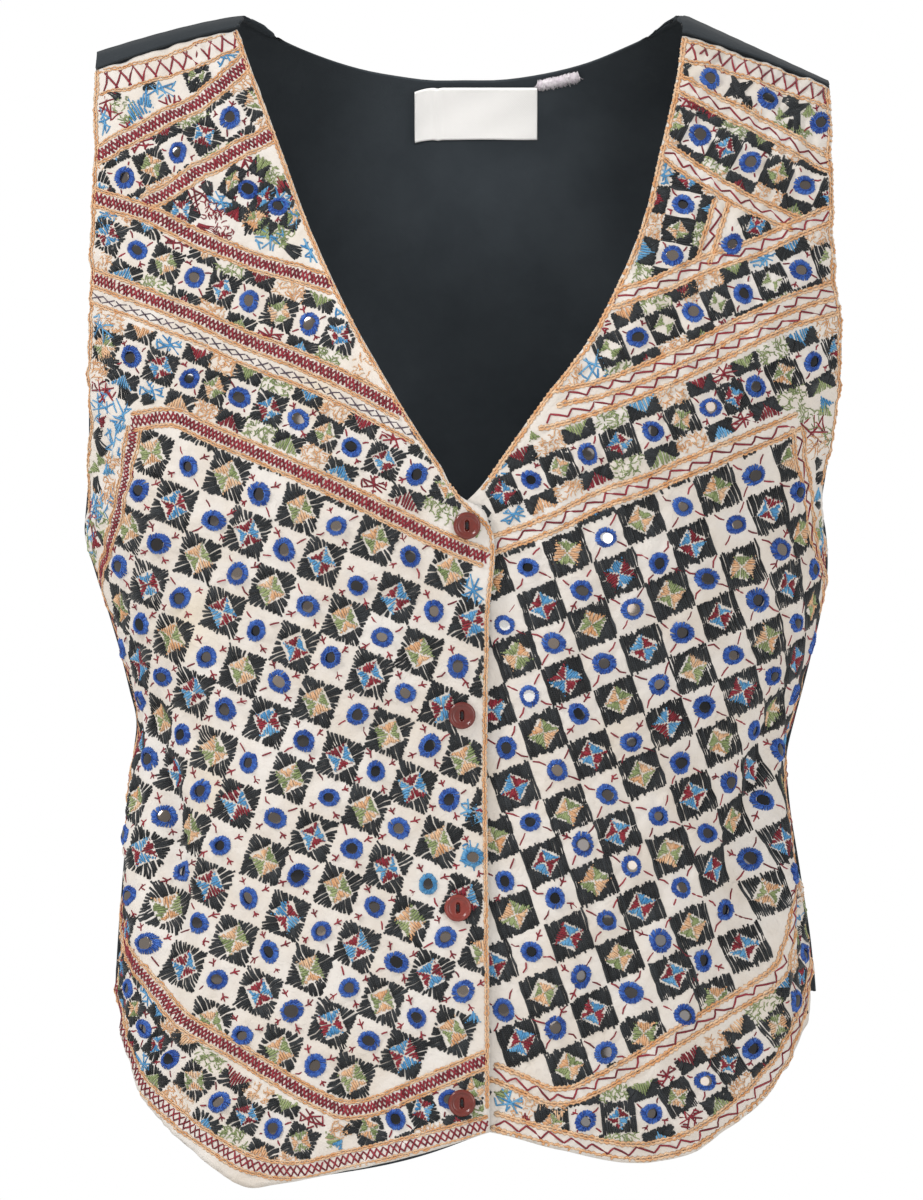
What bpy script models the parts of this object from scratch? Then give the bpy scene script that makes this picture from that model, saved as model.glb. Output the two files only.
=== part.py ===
"""Embroidered waistcoat, worn open-formed with no wearer.

+Z is up, the front faces -Y and +X is the wearer's left. The origin is midway
between the two shoulder tops. Sizes below are in millimetres; meshes in metres.
"""
import math

import bmesh
import bpy
import numpy as np
from mathutils import Matrix, Vector

MM = 0.001

# Cloth and trim
FRONT_WALL = 1.5          # embroidered cotton with its lining
BACK_WALL = 1.2           # plain cotton with its lining
SEAM_GAP = 0.36           # between two pieces along the side seams
SHOULDER_GAP = 0.8        # the same along the cloth at the shoulder seams
LAYER_GAP = 0.5           # between a piece and the panel that it lies on
LABEL_WALL = 1.0
LINING_WALL = 1.0
BUTTON_STAND = 14.0       # how far the under front runs past the centre line
UNDERLAP_RAMP = 36.0      # width over which the under front drops below the upper one

# The body of the garment: one row for each section, taken at "drop" below the
# shoulder line. front and back are depths from the side seam's plane, reach is
# how far out the cloth goes on the wearer's right and left, and arm_front and
# arm_back say where the armhole edges lie, as shares of those depths.
SECTION_COLUMNS = ("drop", "front", "back", "reach_right", "reach_left", "arm_front", "arm_back")
SECTIONS = (
    (0, 0, 0, 185, 182.5, 0.50, 0.50),
    (3, 14, 15, 185, 183, 0.52, 0.52),
    (10, 27, 28, 185.5, 183.5, 0.54, 0.54),
    (25, 43, 46, 186, 184, 0.56, 0.56),
    (50, 61, 66, 186, 184, 0.57, 0.56),
    (90, 82, 86, 187, 184.5, 0.57, 0.54),
    (130, 100, 98, 188, 186, 0.54, 0.51),
    (165, 112, 105, 188.5, 189, 0.48, 0.46),
    (200, 120, 109, 188.5, 186, 0.40, 0.39),
    (230, 124, 110, 188.5, 180.5, 0.30, 0.30),
    (245, 125, 110, 189.5, 178.5, 0.21, 0.21),
    (253, 125, 109.5, 190, 179.5, 0.12, 0.12),
    (257, 125, 109, 190, 180, 0, 0),
    (277, 124, 107, 185, 181, 0, 0),
    (297, 122, 104, 178.5, 178, 0, 0),
    (317, 120, 101, 172.5, 173.5, 0, 0),
    (337, 118, 99, 167.5, 168.5, 0, 0),
    (352, 116, 98, 164, 164.5, 0, 0),
    (370, 115, 98, 165.5, 160.5, 0, 0),
    (390, 114, 99, 167.5, 161.5, 0, 0),
    (427, 114, 102, 170.5, 167, 0, 0),
    (467, 116, 106, 173.5, 173, 0, 0),
    (500, 117, 109, 175, 175.5, 0, 0),
    (590, 118, 112, 176, 176, 0, 0),
)
SQUARENESS = 0.10         # 0 is an ellipse, more is squarer at the corners
LEVEL_STEP = 1.0          # spacing of the worked-out table of levels
PROBE_TURN = 0.004        # steps for the direction square to the cloth
PROBE_LEVEL = 1.5
SEAM_MIDDLE = 20.0        # level of the middle of the forward shoulder seams

# Shoulders: neck is the neck point, fall the drop of the shoulder line from it
# to the tip, with bend its curve, and the forward seam lies at these drops
RIGHT_SHOULDER = {"neck": 113.0, "fall": 18.0, "bend": 1.3, "seam_neck": 5.5, "seam_tip": 10.0}
LEFT_SHOULDER = {"neck": 109.0, "fall": 33.5, "bend": 1.0, "seam_neck": 9.0, "seam_tip": 3.0}
FALL_START = 111.0
FALL_RUN = 73.0           # from there to the shoulder tips
FALL_FADE = 200.0         # the fall dies out this far down
BACK_NECK_DROP = 31.5
BACK_NECK_CURVE = 2.2

# Inner edge of each front, seen from the front: out from the centre line, down
RIGHT_EDGE = (
    (115, 5), (108.5, 22.5), (100, 45), (90, 72.5), (75, 112.5), (57.5, 150),
    (35, 190), (12.5, 225), (-1, 243), (-8.5, 247), (-11.8, 254), (-12.2, 300), (-12.3, 557.5),
)
LEFT_EDGE = (
    (109, 8.5), (106.5, 27.5), (102.5, 47.5), (97, 70), (90, 100), (84, 117.5),
    (72.5, 142.5), (58.5, 167.5), (39, 192.5), (21, 217.5), (6, 238), (-8, 251), (-14, 262),
    (-14, 555),
)
# Hem of each front, seen from the front: out from the centre line, down
RIGHT_HEM = (
    (-12.3, 557.5), (17, 567), (67, 578.5), (95, 584), (108, 585.5), (123, 577.5), (146.5, 557.5),
    (158, 545), (167, 527), (172, 510), (175, 494),
)
LEFT_HEM = (
    (-14, 555), (12.2, 557.5), (47.5, 566.5), (95, 572.5), (114.5, 567.5), (129.5, 557.5),
    (142.5, 547.5), (152.5, 537.5), (161, 525), (169, 510), (173.5, 496), (175.5, 480),
)
BACK_HEM = (
    (0, 486), (60, 486.5), (120, 488), (160, 489), (175, 489),
)

# The largest folds: from and to as (turn, down), where turn runs from 0 on the
# centre line to 1 at the side seam, negative on the wearer's right. height is
# outwards, so a trough is negative; half_width is across the fold.
FOLD_COLUMNS = ("turn_top", "down_top", "turn_end", "down_end", "half_width", "height")
FRONT_FOLDS = (
    (-0.79, 335, -0.52, 480, 15, -7.0),
    (-0.93, 360, -0.70, 500, 17, 4.5),
    (-0.42, 400, -0.36, 540, 26, -2.5),
    (0.84, 330, 0.44, 488, 15, -8.0),
    (0.90, 370, 0.60, 520, 15, 5.0),
    (0.93, 380, 0.84, 480, 9, -5.0),
    (0.30, 420, 0.22, 540, 26, -2.5),
)
BACK_FOLDS = (
    (-0.40, 320, -0.50, 470, 24, -4.0),
    (0.34, 330, 0.46, 475, 26, -4.5),
    (-0.05, 300, 0.04, 470, 30, 3.0),
    (0.88, 320, 0.70, 440, 14, -4.0),
    (-0.88, 330, -0.74, 450, 14, -4.0),
)
QUARTER_GIRTH = 232.0     # cloth from the centre line to a side seam, at the waist

# Grids
FRONT_CELLS = (22, 40)
BACK_CELLS = (34, 32)
LABEL_CELLS = (10, 3)
LINING_CELLS = (9, 2)

SIDE_CROWDING = 0.45      # how much columns draw together towards a side seam
NECK_SHARE = 0.56         # part of the back's columns that end at the neck edge
NECK_BACK_SHARE = 0.80    # part of those behind the shoulder line
NECK_CROWDING = 1.8       # how much they draw together towards the neck point
NECK_SETTLES_BY = 0.12    # part of the height where they are evenly spaced again
EVEN_BY = 0.62            # part of the height where they run as at the hem

# Label, seen from the front
LABEL_SPAN = (-25.5, 36.5)
LABEL_TOP = 33.0
LABEL_HEIGHT = 26.0
LABEL_LOOSE = 0.18        # part of it that is not sewn down, at its left end
LABEL_CURL = 3.5          # how far that end stands off the back

# Lining edge inside the right front's hem
LINING_SPAN = (-4.0, 70.0)
LINING_HEIGHT = 16.0
LINING_SHOW = 1.2         # how far it shows below the hem

# Buttons
BUTTON_RADIUS = 6.8
BUTTON_THICK = 2.8
BUTTON_RIM = 1.3
BUTTON_DISH = 0.9
BUTTON_HOLE_RADIUS = 0.75
BUTTON_HOLE_PITCH = 3.4
BUTTON_HOLE_SIDES = 8
BUTTON_STEPS = 24
BUTTON_WELD = 0.02
BUTTON_SHARP = 35         # degrees
BUTTON_LIFT = 0.5
BUTTON_CENTRES = ((1.0, 255.5), (-1.5, 350), (-3.5, 446), (-1.5, 543))   # x, down

COLOURS = {
    "cream_cotton": ((0.80, 0.74, 0.66, 1), 0.85),
    "black_cotton": ((0.022, 0.025, 0.028, 1), 0.80),
    "label_satin": ((0.86, 0.86, 0.86, 1), 0.55),
    "button_resin": ((0.13, 0.022, 0.018, 1), 0.30),
}


def spline(knots, values, at):
    """Cubic through the rows of a table, with slopes from the neighbours."""
    knots = np.asarray(knots, dtype=float)
    values = np.asarray(values, dtype=float)
    slopes = np.gradient(values, knots)
    i = np.clip(np.searchsorted(knots, at, side="right") - 1, 0, len(knots) - 2)
    span = knots[i + 1] - knots[i]
    t = np.clip((at - knots[i]) / span, 0, 1)
    start = (2 * t ** 3 - 3 * t ** 2 + 1) * values[i]
    start += (t ** 3 - 2 * t ** 2 + t) * span * slopes[i]
    end = (3 * t ** 2 - 2 * t ** 3) * values[i + 1]
    end += (t ** 3 - t ** 2) * span * slopes[i + 1]
    return start + end


def smooth_step(t):
    t = np.clip(t, 0, 1)
    return t * t * (3 - 2 * t)


def across(angle):
    """Sideways share of a section, 0 on the centre line and 1 at the side."""
    return np.sin(angle) * (1 + SQUARENESS * np.cos(angle) ** 2)


def along(angle):
    """Forward share of a section, 1 on the centre line and 0 at the side."""
    return np.cos(angle) * (1 + SQUARENESS * np.sin(angle) ** 2)


ANGLES = np.linspace(0, math.pi / 2, 721)


def angle_of_across(share):
    return np.interp(share, across(ANGLES), ANGLES)


def angle_of_along(share):
    return np.interp(share, along(ANGLES)[::-1], ANGLES[::-1])


class Levels:
    """The sections as functions of level, the distance down the cloth from the
    shoulder line along the centre of the front."""

    def __init__(self):
        rows = dict(zip(SECTION_COLUMNS, np.array(SECTIONS, float).T))
        steps = np.hypot(np.diff(rows["drop"]), np.diff(rows["front"]))
        knots = np.concatenate(([0], np.cumsum(steps)))
        self.level = np.arange(0, knots[-1], LEVEL_STEP)
        self.rows = {name: spline(knots, rows[name], self.level) for name in SECTION_COLUMNS}
        for name in ("arm_front", "arm_back"):
            self.rows[name] = np.maximum(self.rows[name], 0)

    def at(self, name, level):
        return np.interp(level, self.level, self.rows[name])

    def of_drop(self, drop):
        return np.interp(drop, self.rows["drop"], self.level)


LEVELS = Levels()


def fall(x):
    """Drop of the shoulder line below the neck points."""
    run = np.maximum(np.abs(x) - FALL_START, 0) / FALL_RUN
    right, left = (side["fall"] * run ** side["bend"] for side in (RIGHT_SHOULDER, LEFT_SHOULDER))
    return np.where(x < 0, right, left)


def edge_angle(level, face):
    """Angle of the armhole edge, or of the side seam below it."""
    depth = np.maximum(LEVELS.at(face, level), 1)
    share = np.maximum(LEVELS.at("arm_" + face, level), SEAM_GAP / 2 / depth)
    return angle_of_along(share)


def section_width(turn, level, face):
    reach = np.where(turn < 0, LEVELS.at("reach_right", level), LEVELS.at("reach_left", level))
    return reach / across(edge_angle(level, face))


def fold_height(turn, down, folds):
    """Sum of soft ridges and troughs, each tapered to its two ends."""
    total = np.zeros(np.shape(turn))
    for turn_top, down_top, turn_end, down_end, half_width, height in folds:
        start = np.array([turn_top * QUARTER_GIRTH, down_top])
        run = np.array([turn_end * QUARTER_GIRTH, down_end]) - start
        length = np.hypot(*run)
        run = run / length
        dx = turn * QUARTER_GIRTH - start[0]
        dz = down - start[1]
        t = (dx * run[0] + dz * run[1]) / length
        off = (dx * run[1] - dz * run[0]) / half_width
        taper = np.sin(np.pi * np.clip(t, 0, 1)) ** 0.8
        total = total + height * taper * np.exp(-off ** 2)
    return total


def cloth_point(turn, level, face):
    """Point of the garment's outer surface.

    turn runs from -1 at the wearer's right armhole edge or side seam, through
    0 on the centre line, to 1 at the wearer's left.
    """
    turn, level = np.broadcast_arrays(np.asarray(turn, float), np.asarray(level, float))
    way = -1.0 if face == "front" else 1.0
    depth = LEVELS.at(face, level)
    width = section_width(turn, level, face)
    angle = turn * edge_angle(level, face)
    drop = LEVELS.at("drop", level)
    x = width * across(angle)
    y = way * depth * along(angle)
    down = drop + fall(x) * np.maximum(1 - drop / FALL_FADE, 0) ** 2
    normal = np.stack([depth * np.sin(angle), way * width * np.cos(angle)], axis=-1)
    normal /= np.maximum(np.linalg.norm(normal, axis=-1, keepdims=True), 1e-9)
    out = fold_height(turn, down, FRONT_FOLDS if face == "front" else BACK_FOLDS)
    return np.stack([x + normal[..., 0] * out, y + normal[..., 1] * out, -down], axis=-1)


def inside_point(turn, level, face, inward):
    """The same place moved inwards, square to the cloth."""
    point = cloth_point(turn, level, face)
    sides = [cloth_point(turn + step, level, face) for step in (-PROBE_TURN, PROBE_TURN)]
    ends = [cloth_point(turn, np.maximum(level + step, 0), face) for step in (-PROBE_LEVEL, PROBE_LEVEL)]
    normal = np.cross(sides[1] - sides[0], ends[1] - ends[0])
    normal /= np.linalg.norm(normal, axis=-1, keepdims=True)
    if face == "back":
        normal = -normal
    return point + normal * np.reshape(inward, (-1, 1))


def level_at(x, down):
    """Level of the cloth that lies at this place, seen from the front."""
    slope = fall(x)
    a = slope / FALL_FADE ** 2
    b = 1 - 2 * slope / FALL_FADE
    c = slope - down
    root = np.sqrt(np.maximum(b * b - 4 * a * c, 0))
    near = np.where(a > 1e-9, (root - b) / np.maximum(2 * a, 1e-9), -c)
    drop = np.where(near < FALL_FADE, near, down)
    return LEVELS.of_drop(np.maximum(drop, 0))


def turn_at(x, level, face):
    width = section_width(x, level, face)
    angle = angle_of_across(np.abs(x) / width)
    return np.sign(x) * angle / edge_angle(level, face)


def piece_object(name, mesh, material, collection):
    mesh.name = name
    piece = bpy.data.objects.new(name, mesh)
    piece.data.materials.append(bpy.data.materials[material])
    collection.objects.link(piece)
    return piece


def cloth_piece(name, cells, place, wall, material, collection):
    """A grid whose (u, w) corners are put in place by a function, given a wall."""
    columns, rows = cells
    bm = bmesh.new()
    bmesh.ops.create_grid(bm, x_segments=columns, y_segments=rows, size=1)
    u = np.array([(v.co.x + 1) / 2 for v in bm.verts])
    w = np.array([(1 - v.co.y) / 2 for v in bm.verts])
    for vert, point in zip(bm.verts, place(u, w) * MM):
        vert.co = point
    bm.normal_update()
    widest = max(bm.faces, key=lambda face: face.calc_area())
    if widest.normal.dot(widest.calc_center_median() * Vector((1, 1, 0))) < 0:
        bmesh.ops.reverse_faces(bm, faces=bm.faces[:])
    mesh = bpy.data.meshes.new(name)
    bm.to_mesh(mesh)
    bm.free()
    mesh.shade_smooth()
    piece = piece_object(name, mesh, material, collection)
    solidify = piece.modifiers.new("wall", "SOLIDIFY")
    solidify.thickness = wall * MM
    solidify.offset = -1
    return piece


def edge_of_front(rows, side):
    """Turn of a front's inner edge as a function of level."""
    out, down = np.array(rows, float).T
    levels = level_at(out * side, down)
    turns = turn_at(out * side, levels, "front") * side
    return lambda level: spline(levels, turns, level)


def hem_level(rows, share):
    """Level of the hem below a turn, from the hem's drawn outline."""
    out, down = np.array(rows, float).T
    reach = out[-1] * across(share * math.pi / 2)
    return LEVELS.of_drop(spline(out, down, reach))


def underlap(x):
    """How far the under front lies below the upper front near the centre line."""
    full = FRONT_WALL + LINING_WALL + 2 * LAYER_GAP
    return full * (1 - smooth_step((x - BUTTON_STAND) / UNDERLAP_RAMP))


def seam_level(x):
    """Level of the forward shoulder seam, straight from the neck to the tip."""
    found = []
    for shoulder, tip in ((RIGHT_SHOULDER, "reach_right"), (LEFT_SHOULDER, "reach_left")):
        ends = LEVELS.of_drop(np.array([shoulder["seam_neck"], shoulder["seam_tip"]]))
        found.append(np.interp(np.abs(x), (shoulder["neck"], LEVELS.at(tip, 0)), ends))
    return np.where(x < 0, found[0], found[1])


def front_place(side):
    rows, hem = (RIGHT_EDGE, RIGHT_HEM) if side < 0 else (LEFT_EDGE, LEFT_HEM)
    inner = edge_of_front(rows, side)
    hem_edge = inner(LEVELS.level[-1])
    seam_edge = inner(0.0)

    def place(u, w):
        u, w = closer_at_side(u), closer_at_top(w)
        seam_turn = (seam_edge + (1 - seam_edge) * u) * side
        seam_x = cloth_point(seam_turn, SEAM_MIDDLE, "front")[:, 0]
        top = seam_level(seam_x) + SHOULDER_GAP / 2
        bottom = hem_level(hem, hem_edge + (1 - hem_edge) * u)
        level = top + (bottom - top) * w
        edge = inner(level)
        turn = edge + (1 - edge) * u
        if side < 0:
            return cloth_point(-turn, level, "front")
        return inside_point(turn, level, "front", underlap(cloth_point(turn, level, "front")[:, 0]))
    return place


def closer_at_side(u):
    """Columns that draw together towards the side seam."""
    return np.sin(u * math.pi / 2) * SIDE_CROWDING + u * (1 - SIDE_CROWDING)


def closer_at_top(w):
    """Rows that draw together towards the shoulder."""
    return w * (1 + w) / 2


def back_point(turn, signed_level):
    """The back goes over the shoulder line, where its level turns negative."""
    behind = cloth_point(turn, np.maximum(signed_level, 0), "back")
    before = cloth_point(turn, np.maximum(-signed_level, 0), "front")
    return np.where((signed_level >= 0)[..., None], behind, before)


def back_neck(share, neck):
    """Neck edge of the back: from its centre (share 0) up to the shoulder line,
    then over it to the forward seam (share 1). Gives x, level and part over."""
    rest = np.clip(1 - share / NECK_BACK_SHARE, 0, 1)
    over = np.clip((share - NECK_BACK_SHARE) / (1 - NECK_BACK_SHARE), 0, 1)
    x = neck * (1 - rest ** NECK_CROWDING)
    drop = BACK_NECK_DROP * (1 - (x / neck) ** BACK_NECK_CURVE)
    return x, LEVELS.of_drop(drop), over


def back_place(u, w):
    """Columns run from the neck edge or the shoulder seam down to the hem."""
    share = closer_at_side(2 * u - 1)
    w = closer_at_top(w)
    size = np.abs(share)
    side = np.where(share < 0, -1.0, 1.0)
    neck = np.where(share < 0, RIGHT_SHOULDER["neck"], LEFT_SHOULDER["neck"])
    tip = np.where(share < 0, LEVELS.at("reach_right", 0), LEVELS.at("reach_left", 0))
    neck_x, neck_level, over = back_neck(size / NECK_SHARE, neck)
    strap = np.clip((size - NECK_SHARE) / (1 - NECK_SHARE), 0, 1)
    in_neck = size < NECK_SHARE
    top_x = np.where(in_neck, neck_x, neck + (tip - neck) * strap)
    seam = SHOULDER_GAP / 2 - seam_level(top_x * side)
    top = np.where(in_neck, neck_level * (over <= 0) + seam * over, seam)
    level = top + (hem_level(BACK_HEM, size) - top) * w
    top_turn = turn_at(top_x * side, np.abs(top), "back") * side
    neck_turn = turn_at(neck * side, np.abs(seam), "back") * side
    even_turn = np.where(in_neck, neck_turn * size / NECK_SHARE, top_turn)
    turn = even_turn + (size - even_turn) * smooth_step(w / EVEN_BY)
    turn = turn + (top_turn - even_turn) * np.clip(1 - w / NECK_SETTLES_BY, 0, 1) ** 2
    return back_point(turn * side, level)


def label_place(u, w):
    x = LABEL_SPAN[0] + (LABEL_SPAN[1] - LABEL_SPAN[0]) * u
    level = level_at(x, LABEL_TOP + LABEL_HEIGHT * w)
    curl = LABEL_CURL * np.clip(1 - u / LABEL_LOOSE, 0, 1) ** 2
    return inside_point(turn_at(x, level, "back"), level, "back", BACK_WALL + LAYER_GAP + curl)


def lining_place(u, w):
    out = LINING_SPAN[0] + (LINING_SPAN[1] - LINING_SPAN[0]) * u
    hem = spline(*np.array(RIGHT_HEM, float).T, out)
    show = LINING_SHOW * np.sin(np.pi * u)
    level = LEVELS.of_drop(hem + show - LINING_HEIGHT * (1 - w))
    inward = np.full(np.shape(u), FRONT_WALL + LAYER_GAP)
    return inside_point(turn_at(-out, level, "front"), level, "front", inward)


def thread_hole(number, way, cutters):
    hole = bmesh.new()
    radius = BUTTON_HOLE_RADIUS * MM
    bmesh.ops.create_cone(hole, cap_ends=True, segments=BUTTON_HOLE_SIDES, radius1=radius,
                          radius2=radius, depth=BUTTON_THICK * 3 * MM)
    mesh = bpy.data.meshes.new("thread_hole")
    hole.to_mesh(mesh)
    hole.free()
    cutter = bpy.data.objects.new(f"thread_hole_{number + 1}", mesh)
    cutter.location = (0, way * BUTTON_HOLE_PITCH / 2 * MM, 0)
    cutter.hide_render = True
    cutter.display_type = "WIRE"
    cutters.objects.link(cutter)
    return cutter


def button_mesh(cutters):
    """A dished disc turned from its profile, with two holes cut through it."""
    dish_radius = BUTTON_RADIUS - BUTTON_RIM
    dish_height = BUTTON_THICK - BUTTON_DISH
    profile = (
        (0, dish_height), (dish_radius - 1.2, dish_height), (dish_radius - 0.3, BUTTON_THICK - 0.15),
        (dish_radius + 0.3, BUTTON_THICK), (BUTTON_RADIUS - 0.35, BUTTON_THICK - 0.3),
        (BUTTON_RADIUS, BUTTON_THICK * 0.55), (BUTTON_RADIUS - 0.8, BUTTON_THICK * 0.12),
        (BUTTON_RADIUS - 2.2, 0), (0, 0),
    )
    bm = bmesh.new()
    verts = [bm.verts.new((radius * MM, 0, height * MM)) for radius, height in profile]
    for first, second in zip(verts, verts[1:]):
        bm.edges.new((first, second))
    mesh = bpy.data.meshes.new("button_profile")
    bm.to_mesh(mesh)
    bm.free()
    disc = piece_object("button_disc", mesh, "button_resin", cutters)
    screw = disc.modifiers.new("turned", "SCREW")
    screw.steps = screw.render_steps = BUTTON_STEPS
    screw.use_merge_vertices = True
    screw.merge_threshold = BUTTON_WELD * MM
    for number, way in enumerate((-1, 1)):
        cut = disc.modifiers.new("hole", "BOOLEAN")
        cut.operation = "DIFFERENCE"
        cut.object = thread_hole(number, way, cutters)
    bpy.context.view_layer.update()
    evaluated = disc.evaluated_get(bpy.context.evaluated_depsgraph_get())
    finished = bpy.data.meshes.new_from_object(evaluated)
    finished.shade_smooth()
    finished.set_sharp_from_angle(angle=math.radians(BUTTON_SHARP))
    bpy.data.objects.remove(disc)
    return finished


def seat_of_button(x, down):
    """Place and outward direction of a button on the upper front."""
    x = np.array([x])
    level = level_at(x, np.array([down]))
    turn = turn_at(x, level, "front")
    centre = Vector(cloth_point(turn, level, "front")[0])
    below = Vector(inside_point(turn, level, "front", np.ones(1))[0])
    return centre * MM, (centre - below).normalized()


def add_buttons(collection, cutters):
    mesh = button_mesh(cutters)
    for number, (x, down) in enumerate(BUTTON_CENTRES):
        centre, normal = seat_of_button(x, down)
        button = bpy.data.objects.new(f"button_{number + 1}", mesh)
        upright = Vector((0, 0, 1))
        upright = (upright - normal * upright.dot(normal)).normalized()
        side = upright.cross(normal)
        turn = Matrix((side, upright, normal)).transposed().to_4x4()
        button.matrix_world = Matrix.Translation(centre + normal * BUTTON_LIFT * MM) @ turn
        collection.objects.link(button)


def clear_scene():
    for thing in list(bpy.data.objects):
        bpy.data.objects.remove(thing)


def add_materials():
    for name, (colour, roughness) in COLOURS.items():
        material = bpy.data.materials.new(name)
        material.use_nodes = True
        shader = material.node_tree.nodes["Principled BSDF"]
        shader.inputs["Base Color"].default_value = colour
        shader.inputs["Roughness"].default_value = roughness
        shader.inputs["Metallic"].default_value = 0


def new_collection(name):
    collection = bpy.data.collections.new(name)
    bpy.context.scene.collection.children.link(collection)
    return collection


def main():
    clear_scene()
    add_materials()
    garment = new_collection("embroidered_waistcoat")
    cutters = new_collection("cutters")
    cloth_piece("front_right", FRONT_CELLS, front_place(-1), FRONT_WALL, "cream_cotton", garment)
    cloth_piece("front_left", FRONT_CELLS, front_place(1), FRONT_WALL, "cream_cotton", garment)
    cloth_piece("back", BACK_CELLS, back_place, BACK_WALL, "black_cotton", garment)
    cloth_piece("neck_label", LABEL_CELLS, label_place, LABEL_WALL, "label_satin", garment)
    cloth_piece("hem_lining", LINING_CELLS, lining_place, LINING_WALL, "black_cotton", garment)
    add_buttons(garment, cutters)


main()
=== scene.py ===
import math

import bpy
import numpy as np
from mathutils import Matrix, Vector


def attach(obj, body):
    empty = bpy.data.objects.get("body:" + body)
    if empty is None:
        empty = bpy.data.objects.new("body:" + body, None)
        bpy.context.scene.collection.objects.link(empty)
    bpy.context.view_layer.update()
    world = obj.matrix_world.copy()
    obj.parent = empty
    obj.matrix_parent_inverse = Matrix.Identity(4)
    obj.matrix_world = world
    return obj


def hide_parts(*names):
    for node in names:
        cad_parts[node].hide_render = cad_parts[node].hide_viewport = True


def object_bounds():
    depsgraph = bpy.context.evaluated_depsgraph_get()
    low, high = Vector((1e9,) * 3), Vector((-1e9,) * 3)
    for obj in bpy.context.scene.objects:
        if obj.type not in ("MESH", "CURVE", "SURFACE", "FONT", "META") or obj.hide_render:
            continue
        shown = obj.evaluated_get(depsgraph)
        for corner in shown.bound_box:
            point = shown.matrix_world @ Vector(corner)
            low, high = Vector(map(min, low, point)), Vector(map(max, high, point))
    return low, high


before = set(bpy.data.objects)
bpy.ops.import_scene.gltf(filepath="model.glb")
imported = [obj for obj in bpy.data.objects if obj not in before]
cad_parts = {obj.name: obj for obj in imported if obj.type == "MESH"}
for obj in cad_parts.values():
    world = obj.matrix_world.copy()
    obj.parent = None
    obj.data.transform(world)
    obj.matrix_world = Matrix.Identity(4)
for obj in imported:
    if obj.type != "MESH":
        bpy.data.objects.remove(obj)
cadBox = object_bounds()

mm = 0.001          # shapes are worked out in millimetres, meshes are in metres
body = "root"
clothWall = 1.1     # thickness of the fronts and the back

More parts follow.
